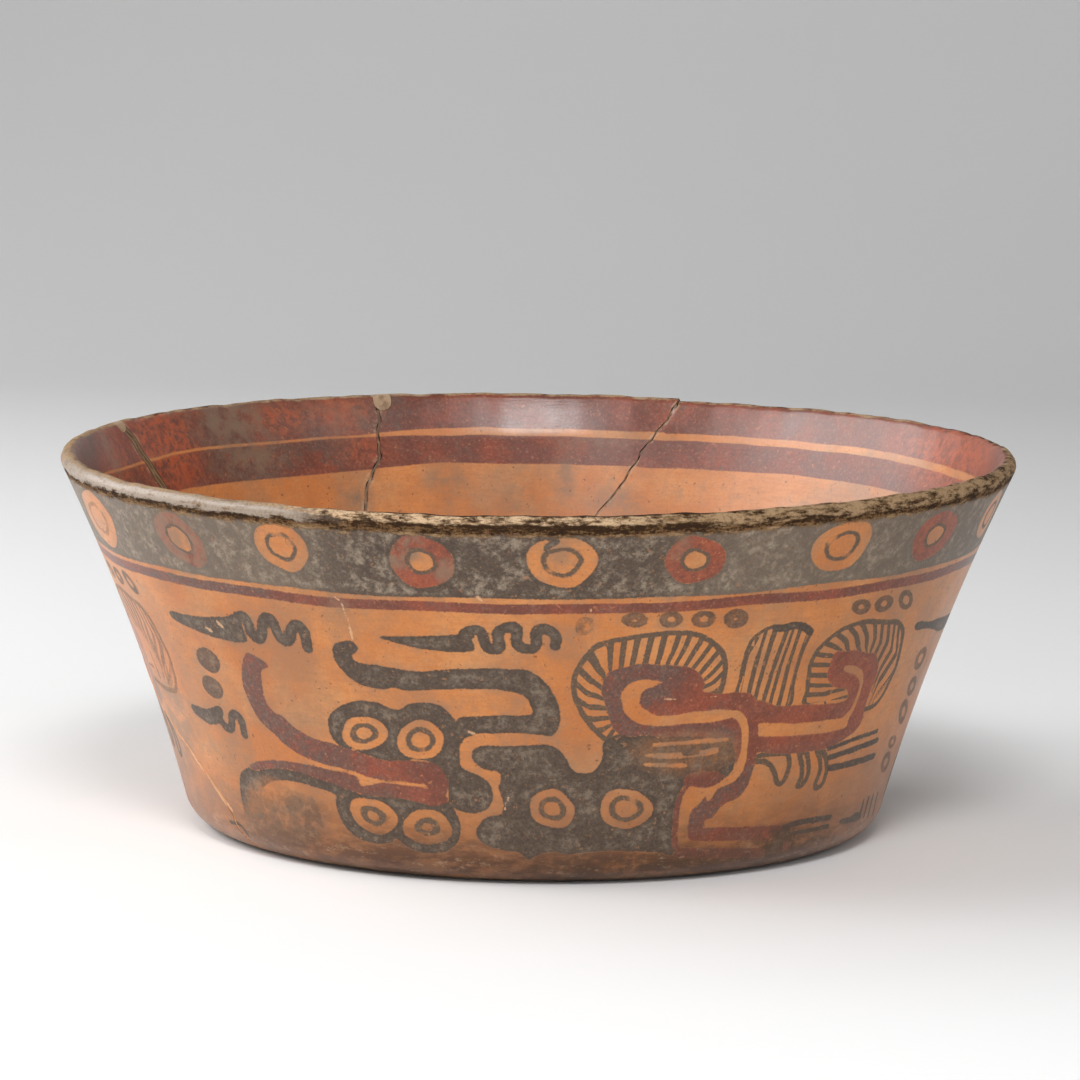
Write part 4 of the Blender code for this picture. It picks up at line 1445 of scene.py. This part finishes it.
paint = Finish("slip_painted_clay")
grain = paint.noise(0.0008, 3, roughness=0.7)
fine = paint.noise(0.0022, 5, roughness=0.75)
cloud = paint.noise(0.011, 5, roughness=0.6)
dusty = paint.noise(0.0055, 6, roughness=0.75)
burnish = paint.noise(0.0020, 3, stretch=(0.35, 0.35, 2.5))
specks = paint.step(paint.noise(0.0013, 2), 0.66, 0.76)
stains = paint.step(paint.noise(0.009, 7, roughness=0.72), 0.48, 0.74)
smoke = paint.step(paint.noise(0.028, 6, roughness=0.68), 0.42, 0.64)
patchy = paint.step(fine, 0.36, 0.62)
# Grey stains, and along the left edge of the wall a painted sheen in the same grey
stained = paint.times(paint.field("stained"), paint.step(dusty, 0.34, 0.60))
ground = paint.mix(paint.step(paint.noise(0.045, 4), 0.40, 0.66), ORANGE, ORANGE_DEEP)
for share, strength, tone in (
    (paint.step(paint.noise(0.018, 5), 0.46, 0.74), 0.60, ORANGE_PALE),
    (paint.step(fine, 0.42, 0.70), 0.45, ORANGE_DEEP),
    (paint.step(grain, 0.50, 0.78), 0.30, ORANGE_PALE),
    (paint.step(burnish, 0.46, 0.66), 0.35, ORANGE_DEEP),
    (stains, 0.45, GREY_STAIN_AND_SHEEN),
    (smoke, 0.42, GREY_STAIN_AND_SHEEN),
    (paint.step(grain, 0.50, 0.30), 0.30, GREY_STAIN_AND_SHEEN),
    (stained, 1, GREY_STAIN_AND_SHEEN),
    (specks, 0.60, BROWN),
):
    ground = paint.coat(ground, tone, share, strength)

# Brush edges waver a little, and a ringed circle has a bare heart inside its dark ring
EDGE = 0.22  # mm from bare to painted
RED_OVERLAP = 0.13  # the red runs a little under the black
waver = paint.math("MULTIPLY_ADD", paint.noise(0.0034, 3), 0.64, -0.32)
fray = paint.math("MULTIPLY_ADD", paint.noise(0.0007, 2), 0.7, -0.35)
edge = paint.plus(waver, fray)
ring = paint.plus(paint.field("rings"), paint.times(edge, 0.16))
heart = paint.step(ring, 0.43, 0.37)
dark_ring = paint.times(paint.step(ring, 0.64, 0.56), paint.rest(heart))
dark_ring = paint.times(dark_ring, paint.step(paint.noise(0.006, 4), 0.24, 0.42))

# Inside, two red bands run under the lip with an orange line between them, by height in millimetres
INNER_LINE = 93.5  # top of the orange line
INNER_LINE_WIDTH = 2.3
INNER_BAND_FOOT = 83.8
LEFT_LINE_LOSS = 1.3  # how much thinner the line is on the left
LEFT_BAND_DROP = 1.8
NO_BAND = 9.0  # far enough from any band
lip = paint.field("lip")
on_left = paint.field("inside_left")
unsteady = paint.math("MULTIPLY_ADD", paint.noise(0.05, 2), 3.0, -1.5)
height = paint.plus(paint.field("height"), unsteady)
line_top = paint.math("MULTIPLY_ADD", on_left, -LEFT_LINE_LOSS, INNER_LINE)
above_line = paint.math("SUBTRACT", line_top, height)
below_line = paint.math("SUBTRACT", height, INNER_LINE - INNER_LINE_WIDTH)
band_foot = paint.math("MULTIPLY_ADD", on_left, -LEFT_BAND_DROP, INNER_BAND_FOOT)
inner_band = paint.math("MAXIMUM", below_line, paint.math("SUBTRACT", band_foot, height))
inner_gap = paint.plus(paint.math("MINIMUM", above_line, inner_band), paint.times(edge, -0.6))
inner_gap = paint.blend(paint.step(lip, 0.4, 1.2), NO_BAND, inner_gap)

# The red, dusky where it is thick, and rusty where it is thin
red_gap = paint.plus(paint.math("MINIMUM", paint.field("red"), inner_gap), edge)
in_red = paint.times(paint.step(red_gap, EDGE + RED_OVERLAP, RED_OVERLAP - EDGE), paint.rest(heart))
dusk_cloud = paint.step(paint.noise(0.016, 5, roughness=0.65), 0.40, 0.60)
left_dusk = paint.times(on_left, paint.step(lip, 0.0, 1.0), dusk_cloud)
dusk = paint.times(paint.step(dusty, 0.44, 0.62), 0.55)
dusk = paint.plus(dusk, paint.math("MAXIMUM", paint.field("dusky"), left_dusk))
dusk = paint.times(dusk, paint.step(fine, 0.26, 0.58))
red = paint.mix(paint.step(cloud, 0.42, 0.62), RED, RED_BRIGHT)
for share, strength, tone in (
    (paint.math("MINIMUM", dusk, 1), 1, RED_DUSKY),
    (paint.step(fine, 0.52, 0.72), 0.45, GREY_STAIN_AND_SHEEN),
    (paint.step(grain, 0.52, 0.34), 0.45, BLACK_DEEP),
    (paint.step(grain, 0.54, 0.72), 0.55, RED_PALE),
    (paint.field("rusty"), patchy, RUST),
    (stained, 1, GREY_STAIN_AND_SHEEN),
):
    red = paint.coat(red, tone, share, strength)

# Where the black lies: wide areas, rings, and the outlines and strokes of the feather fans
outline_gap = paint.plus(paint.field("outlined"), paint.times(edge, 0.6))
in_fan = paint.step(outline_gap, 0.1, -0.1)
in_outline = paint.times(in_fan, paint.step(outline_gap, -1.1, -0.9))
from_stroke = paint.math("PINGPONG", paint.field("feathers"), 0.5)
from_stroke = paint.plus(from_stroke, paint.times(edge, 0.16))
in_stroke = paint.times(in_fan, paint.step(from_stroke, 0.27, 0.21))
in_fan_line = paint.times(paint.math("MAXIMUM", in_outline, in_stroke), paint.rest(in_red))
black_gap = paint.plus(paint.field("black"), edge)
in_area = paint.times(paint.step(black_gap, EDGE, -EDGE), paint.rest(heart))
in_line = paint.math("MAXIMUM", dark_ring, in_fan_line)
in_black = paint.math("MAXIMUM", in_area, in_line)

# The black is thick at its edges and in thin strokes, dusty in the middle of wide ones, and on the rim
# band paler towards both sides as painted light
RIM_BAND_FOOT = (79.0, 80.5)  # mm above the ground
in_rim_band = paint.step(paint.field("height"), *RIM_BAND_FOOT)
thickness = paint.step(black_gap, -1.6, -0.2)
dust = paint.times(paint.step(dusty, 0.42, 0.62), paint.step(fine, 0.38, 0.62))
dust = paint.times(dust, paint.math("MULTIPLY_ADD", thickness, -0.55, 1))
dust = paint.times(dust, paint.math("MULTIPLY_ADD", in_rim_band, 0.45, 0.5))
# Painted light: the rim band is made paler towards both sides of the bowl
painted_light_at_sides = paint.math("MAXIMUM", paint.field("chipped"), paint.field("kept_slip"))
line_brown = paint.mix(paint.step(grain, 0.40, 0.66), BLACK, LINE_BROWN)
black = paint.mix(paint.step(grain, 0.36, 0.64), BLACK_DEEP, BLACK)
for share, strength, tone in (
    (dust, 1, BLACK_DUST_AND_LIGHT),
    (thickness, 0.30, BLACK_DEEP),
    (paint.times(painted_light_at_sides, in_rim_band), 0.28, BLACK_DUST_AND_LIGHT),
    (in_line, paint.rest(in_area), line_brown),
):
    black = paint.coat(black, tone, share, strength)
halo = paint.times(paint.step(black_gap, 2.4, 0.0), paint.step(dusty, 0.46, 0.66))
ground = paint.coat(ground, GREY_STAIN_AND_SHEEN, halo, 0.4)

# The paint is worn through in specks, and thin where it has faded
worn = paint.step(paint.noise(0.0016, 4, roughness=0.7), 0.60, 0.70)
worn = paint.times(worn, paint.math("MULTIPLY_ADD", in_line, 0.25, 0.40))
fading = paint.times(paint.field("faded"), paint.math("MULTIPLY_ADD", patchy, 0.9, 0.55))
thin = paint.times(paint.rest(worn), paint.rest(paint.math("MINIMUM", fading, 1)))
skin_colour = paint.coat(ground, red, in_red, thin)
skin_colour = paint.coat(skin_colour, black, in_black, thin)

# The foot: scuffed where the bowl stands, browner above that with dirt and painted shade, and darkest in
# front with painted shade, with a ragged dark line at its edge. Each kind of wear and shade runs from
# where it starts to where it is full, in millimetres above the ground
FOOT_RAGGED = 9.0  # how far the wear wanders up and down
FOOT_WEAR = (9.0, 4.0)
FOOT_DIRT_AND_SHADE = (36.0, 1.0)
FOOT_GRIME_AND_SHADE_RANGE = (30.0, 9.0)
FOOT_SCUFFED = (17.0, 10.0)
FOOT_LINE = (6.5, 5.0)
foot_spot = paint.plus(paint.field("height"), paint.times(dusty, FOOT_RAGGED))
outer_side = paint.step(lip, 0, -1)
foot_wear = paint.times(paint.step(foot_spot, *FOOT_WEAR), outer_side)
free_of_dirt_and_shade = paint.math("MAXIMUM", in_black, paint.times(in_red, 0.8))
# Painted shade, with dirt: the bare wall browns towards the foot, but not on the paint
foot_dirt_and_shade = paint.times(paint.step(paint.field("height"), *FOOT_DIRT_AND_SHADE), outer_side, paint.rest(free_of_dirt_and_shade))
foot_streaks = paint.step(paint.noise(0.006, 5, stretch=(0.5, 0.5, 1.5), roughness=0.75), 0.40, 0.58)
browned = paint.math("MULTIPLY_ADD", foot_streaks, 0.30, 0.48)
# Painted shade, streaked like dirt: darker still above the foot towards the front
grime_and_shade = paint.times(paint.step(foot_spot, *FOOT_GRIME_AND_SHADE_RANGE), paint.field("front_grime_and_shade"))
grime_and_shade = paint.times(grime_and_shade, paint.math("MULTIPLY_ADD", foot_streaks, 0.42, 0.52))
scuffs = paint.step(paint.noise(0.0032, 5, stretch=(0.6, 0.6, 1.3), roughness=0.78), 0.55, 0.63)
scuffs = paint.times(scuffs, paint.times(paint.step(foot_spot, *FOOT_SCUFFED), outer_side))
foot_line = paint.times(paint.step(foot_spot, *FOOT_LINE), paint.step(fine, 0.42, 0.56), outer_side)
crust = paint.step(fine, 0.38, 0.56)
for share, strength, tone in (
    (foot_wear, 0.65, GREY_STAIN_AND_SHEEN),
    (foot_dirt_and_shade, browned, FOOT_BROWN),
    (grime_and_shade, foot_dirt_and_shade, FOOT_GRIME_AND_SHADE),
    (scuffs, 0.28, PALE_CLAY),
    (foot_line, 0.70, BROWN),
    (paint.field("crusted"), crust, CRUST),
):
    skin_colour = paint.coat(skin_colour, tone, share, strength)

# The lip: dark brown round its outer edge, grey slip kept on the left, rubbed to pale clay on its crown.
# Places are in millimetres over the lip, below 0 outside: each mark rises and falls between four of them
BROWN_EDGE = (-6.5, -5.3, 0.6, 2.0)
KEPT_SLIP = (-4.0, -3.0, 0.2, 1.2)
WORN_LIP = (-5.0, -3.0, 0.6, 2.8)
LIP_RAGGED = 7.0  # how far the marks wander
CROWN_WIDTH = (2.2, 0.9)
UNDER_LIP = -5.7
UNDER_LIP_WIDTH = 1.5
chips = paint.noise(0.0034, 6, stretch=(0.55, 0.55, 1.3), roughness=0.74)
shreds = paint.noise(0.0015, 5, stretch=(0.32, 0.32, 1.2), roughness=0.72)
ragged = paint.blend(0.5, chips, shreds)
lip_spot = paint.plus(lip, paint.math("MULTIPLY_ADD", ragged, LIP_RAGGED, -LIP_RAGGED / 2))
brown_edge = paint.within(lip_spot, *BROWN_EDGE)
flecks = paint.plus(shreds, paint.times(paint.step(lip, -2.4, -5.9), 0.12))
flecks = paint.plus(flecks, paint.math("MULTIPLY_ADD", grain, 0.5, -0.25))
lip_brown = paint.coat(BROWN, LIP_EARTH, paint.step(flecks, 0.50, 0.68), 0.9)
skin_colour = paint.mix(brown_edge, skin_colour, lip_brown)
slip_loss = paint.plus(paint.field("kept_slip"), paint.math("MULTIPLY_ADD", chips, 0.9, -0.45))
kept_slip = paint.times(paint.step(slip_loss, 0.15, 0.85), paint.within(lip_spot, *KEPT_SLIP))
lip_grey = paint.mix(paint.step(ragged, 0.50, 0.38), LIP_GREY, LIP_EARTH)
lip_grey = paint.coat(lip_grey, LIP_EARTH, paint.step(grain, 0.50, 0.34), 0.5)
skin_colour = paint.mix(kept_slip, skin_colour, lip_grey)
crown = paint.math("ABSOLUTE", paint.math("SUBTRACT", lip, paint.field("crown")))
crown = paint.step(crown, *CROWN_WIDTH)
under_lip = paint.step(paint.math("ABSOLUTE", paint.plus(lip, -UNDER_LIP)), UNDER_LIP_WIDTH, 0.0)
lip_wear = paint.plus(paint.times(crown, 0.19), paint.times(under_lip, 0.11))
worn_lip = paint.plus(paint.times(paint.field("chipped"), 0.16), paint.times(paint.field("bare"), 0.22))
worn_lip = paint.times(paint.within(lip, *WORN_LIP), worn_lip)
rubbed = paint.step(paint.plus(ragged, paint.math("MAXIMUM", lip_wear, worn_lip)), 0.58, 0.73)
pale_clay = paint.coat(LIP_TAN, PALE_CLAY, paint.field("cream"), crown)
pale_clay = paint.coat(pale_clay, LIP_EARTH, paint.step(shreds, 0.52, 0.40), 0.7)
pale_clay = paint.coat(pale_clay, LIP_EARTH, paint.step(grain, 0.50, 0.36), 0.6)
skin_colour = paint.mix(rubbed, skin_colour, pale_clay)
scratch = paint.step(paint.plus(paint.field("pale"), edge), 0.12, -0.12)
skin_colour = paint.coat(skin_colour, SCRATCH, scratch, 0.7)

# The breaks: dirt along the edges, pale filler rubbed along some of them, and inside on the left a break
# filled level, with the shade of a groove painted along each side, all in millimetres
FILLER_REACH = 1.4  # on each side of the break
on_inside = paint.step(lip, -1.0, 0.0)
seam = paint.plus(paint.field("seam"), paint.times(edge, 0.8))
filler = paint.times(paint.step(seam, 1.8, 1.0), paint.step(dusty, 0.52, 0.60))
filled = paint.plus(paint.field("filled"), paint.times(edge, 0.5))
in_filler = paint.times(paint.step(filled, 1.7, FILLER_REACH), on_inside)
# Painted shade: a dark line along each edge of the filler, standing for a groove there
groove_shade = paint.step(paint.math("ABSOLUTE", paint.math("SUBTRACT", filled, FILLER_REACH)), 0.5, 0.15)
for share, strength, tone in (
    (filler, 0.40, PALE_CLAY),
    (paint.step(seam, 0.9, 0.2), 0.50, BROWN),
    (in_filler, 0.80, FILLER),
    (paint.times(groove_shade, on_inside), 0.75, BROWN),
):
    skin_colour = paint.coat(skin_colour, tone, share, strength)
paint.link(skin_colour, paint.shader.inputs["Base Color"])

# Gloss: burnished outside and under the lip inside, duller further down, dry where the clay is bare
BURNISHED = 0.34
PAINTED = 0.44
DULL = 0.60  # further down inside
POLISHED = 0.42
RUBBED = 0.85
SHEEN = 0.40
INNER_SHEEN = 0.75  # under the lip inside
DRY = 0.12  # on the brown of the lip
SHEEN_FOOT = (90.0, 93.0)  # mm above the ground
inside_wall = paint.step(lip, 1.0, 3.0)
under_lip_inside = paint.step(height, *SHEEN_FOOT)
low_inside = paint.times(inside_wall, paint.rest(under_lip_inside))
gloss = paint.blend(in_black, BURNISHED, PAINTED)
gloss = paint.blend(low_inside, gloss, paint.blend(paint.field("polished"), DULL, POLISHED))
dry = paint.times(brown_edge, paint.rest(kept_slip))
gloss = paint.blend(paint.math("MAXIMUM", dry, rubbed), gloss, RUBBED)
gloss = paint.plus(gloss, paint.math("MULTIPLY_ADD", cloud, 0.20, -0.10))
paint.link(gloss, paint.shader.inputs["Roughness"])
well_kept = paint.math("MAXIMUM", under_lip_inside, paint.field("polished"))
sheen = paint.blend(paint.times(inside_wall, well_kept), SHEEN, INNER_SHEEN)
paint.link(paint.blend(dry, sheen, DRY), paint.shader.inputs["Specular IOR Level"])

# Relief: fine burnishing marks, paint that stands a little proud, pits where it is rubbed, and a crease
# under the lip
CREASE = -4.3  # mm over the lip
RELIEF_STRENGTH = 0.35
RELIEF_DEPTH = 0.0002
relief = paint.plus(paint.times(burnish, 0.5), paint.times(grain, 0.35))
relief = paint.plus(relief, paint.times(in_black, 0.12))
relief = paint.math("SUBTRACT", relief, paint.times(rubbed, paint.noise(0.0014, 4)))
crease = paint.step(paint.math("ABSOLUTE", paint.plus(lip_spot, -CREASE)), 0.8, 0.1)
relief = paint.math("SUBTRACT", relief, paint.times(crease, 1.2))
paint.bump(relief, RELIEF_STRENGTH, RELIEF_DEPTH)
for sherd in sherds:
    sherd.data.materials.clear()
    sherd.data.materials.append(paint.material)


# The glue. Thin films of the restorer's adhesive in the breaks, set a little below the clay's skin and
# darkened by dirt.

GLUE_RECESS = 0.00015
CLEAN_GLUE_RECESS = 0.00005
GLUE_CLEARANCE = 0.00006
GLUE_END_GAP = 0.0020  # where the breaks meet
BRANCH_GAP = 0.0002  # between the two films of the left break


def set_in_place(obj):
    """Carries a finished piece to where the hand-built bowl puts it, with its modifiers applied."""
    mesh = bpy.data.meshes.new_from_object(obj.evaluated_get(bpy.context.evaluated_depsgraph_get()))
    points = np.empty(len(mesh.vertices) * 3)
    mesh.vertices.foreach_get("co", points)
    mesh.vertices.foreach_set("co", hand_made(points.reshape(-1, 3)).ravel())
    obj.modifiers.clear()
    obj.vertex_groups.clear()
    mesh.materials.clear()
    obj.data = mesh
    mesh.shade_smooth()
    mesh.set_sharp_from_angle(angle=SMOOTH_ANGLE)


def shortened(path, length):
    """The path without its first stretch of this length, measured on the outer skin."""
    line = in_space(path[:, 0], *outside(path[:, 1]).T)
    reach = np.concatenate(([0], np.cumsum(np.linalg.norm(np.diff(line, axis=0), axis=1))))
    first = [np.interp(length, reach, path[:, axis]) for axis in (0, 1)]
    return np.concatenate(([first], path[reach > length]))


def glue_finish(name, main, spots):
    """Hardened glue of two tones, unevenly glossy and lumpy."""
    glue = Finish(name)
    tone = glue.step(glue.noise(0.004, 4), 0.45, 0.65)
    glue.link(glue.mix(tone, main, spots), glue.shader.inputs["Base Color"])
    glue.link(glue.math("MULTIPLY_ADD", glue.noise(0.002), 0.3, 0.35), glue.shader.inputs["Roughness"])
    glue.bump(glue.noise(0.001, 4), 0.5, 0.0003)
    return glue.material


DIRTY_GLUE = colour(104, 78, 54)
DIRTY_GLUE_SPOTS = colour(150, 118, 84)
CLEAN_GLUE = colour(200, 142, 94)
CLEAN_GLUE_SPOTS = colour(188, 128, 82)
dirty_glue = glue_finish("dirty_glue", DIRTY_GLUE, DIRTY_GLUE_SPOTS)
clean_glue = glue_finish("clean_glue", CLEAN_GLUE, CLEAN_GLUE_SPOTS)

for name, path, gap, start_gap, end_gap in (
    ("glue_left_upper", LEFT_UPPER_BREAK, LEFT_GAP, PUTTY_LEFT_DEPTH - LIP / 2, BRANCH_GAP),
    ("glue_left_lower", LEFT_LOWER_BREAK, LEFT_GAP, BRANCH_GAP, GLUE_END_GAP),
    ("glue_back_left", BACK_LEFT_BREAK, BACK_LEFT_GAP, PUTTY_BACK_DEPTH - LIP / 2, GLUE_END_GAP),
    ("glue_back_right", BACK_RIGHT_BREAK, BACK_RIGHT_GAP, GLUE_RECESS, GLUE_END_GAP),
    ("glue_front_left", FRONT_LEFT_BREAK, FRONT_LEFT_GAP, LEFT_GAP, GLUE_END_GAP),
):
    clean = path is FRONT_LEFT_BREAK
    recess = CLEAN_GLUE_RECESS if clean else GLUE_RECESS
    film_path = shortened(shortened(fractured(path), start_gap)[::-1], end_gap)
    film_width = gap - 2 * GLUE_CLEARANCE
    film = break_strip(name + "_film", film_path, [film_width] * len(film_path), recess, recess)
    set_in_place(film)
    film.data.materials.append(clean_glue if clean else dirty_glue)
    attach(film, "root")
    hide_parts(name)


# The putty. Two chips in the lip, where breaks reach it, are filled with pale putty, pressed in by
# finger and left rough.

PUTTY = colour(172, 146, 118)
PUTTY_DIRTY = colour(140, 114, 88)
PUTTY_ROUGHNESS = 0.85
putty = Finish("putty")
putty_colour = putty.mix(putty.step(putty.noise(0.0025, 5), 0.45, 0.68), PUTTY, PUTTY_DIRTY)
putty.link(putty_colour, putty.shader.inputs["Base Color"])
putty.shader.inputs["Roughness"].default_value = PUTTY_ROUGHNESS
putty.bump(putty.noise(0.0015, 5, roughness=0.7), 0.8, 0.0006)

for name, size in PUTTY_PLUGS.items():
    shape = plug_shape(name + "_shape", *size)
    plug = turned_bowl(name + "_plug")
    cut(plug, shape, "INTERSECT")
    set_in_place(plug)
    bpy.data.objects.remove(shape)
    plug.data.materials.append(putty.material)
    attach(plug, "root")
    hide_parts(name)


# The studio: a pale sheet that lies under the bowl and sweeps up behind it, and soft light from above
# and both sides.

SHEET_WIDTH = 8.0
SHEET_FRONT = -3.0
SHEET_BACK = 1.2  # where the sheet starts to rise
SHEET_SWEEP = 1.0
SHEET_TOP = 3.5
SHEET_STEPS = 24
SHEET_DROP = 0.0002  # keeps the sheet clear of the underside
SHEET_PALE = colour(236, 236, 236)
SHEET_PALER = colour(240, 240, 240)
SHEET_ROUGHNESS = 0.7
bm = bmesh.new()
sheet_line = [(SHEET_FRONT, 0.0)]
for turn in np.linspace(0, pi / 2, SHEET_STEPS + 1):
    sheet_line.append((SHEET_BACK + SHEET_SWEEP * sin(turn), SHEET_SWEEP * (1 - cos(turn))))
sheet_line.append((SHEET_BACK + SHEET_SWEEP, SHEET_TOP))
sheet_points = [bm.verts.new((-SHEET_WIDTH / 2, y, z - SHEET_DROP)) for y, z in sheet_line]
sheet_edges = [bm.edges.new(pair) for pair in zip(sheet_points, sheet_points[1:])]
grown = bmesh.ops.extrude_edge_only(bm, edges=sheet_edges)["geom"]
moved = [item for item in grown if isinstance(item, bmesh.types.BMVert)]
bmesh.ops.translate(bm, verts=moved, vec=(SHEET_WIDTH, 0, 0))
bmesh.ops.recalc_face_normals(bm, faces=bm.faces)
sheet = add_object("studio_sheet", bm)
sheet.data.shade_smooth()
sheet_finish = Finish("pale_sheet")
sheet_colour = sheet_finish.mix(sheet_finish.noise(0.4), SHEET_PALE, SHEET_PALER)
sheet_finish.link(sheet_colour, sheet_finish.shader.inputs["Base Color"])
sheet_finish.shader.inputs["Roughness"].default_value = SHEET_ROUGHNESS
sheet.data.materials.append(sheet_finish.material)


LIT_POINT = Vector((0, 0, 0.05))
SOFT_BOXES = [  # name, power in watts, size and place
    ("front_light", 11.5, 0.40, (0.03, -1.10, 1.12)),
    ("low_light", 5.0, 1.00, (-0.30, -1.60, 0.40)),
    ("left_light", 5.9, 0.60, (-1.10, -0.30, 0.95)),
    ("back_light", 14.0, 1.10, (-1.12, 0.38, 0.62)),
    ("right_light", 3.1, 0.80, (1.10, -0.70, 0.60)),
]
for name, power, size, place in SOFT_BOXES:
    lamp = bpy.data.lights.new(name, "AREA")
    lamp.energy = power
    lamp.shape = "SQUARE"
    lamp.size = size
    light = bpy.data.objects.new(name, lamp)
    light.location = place
    light.rotation_euler = (LIT_POINT - Vector(place)).to_track_quat("-Z", "Y").to_euler()
    bpy.context.scene.collection.objects.link(light)

ROOM_GREY = (0.9, 0.9, 0.9, 1)
ROOM_LIGHT = 0.24
world = bpy.data.worlds.new("studio")
world.use_nodes = True
room = world.node_tree.nodes["Background"]
room.inputs["Color"].default_value = ROOM_GREY
room.inputs["Strength"].default_value = ROOM_LIGHT
bpy.context.scene.world = world
bpy.context.scene.view_settings.view_transform = "Standard"
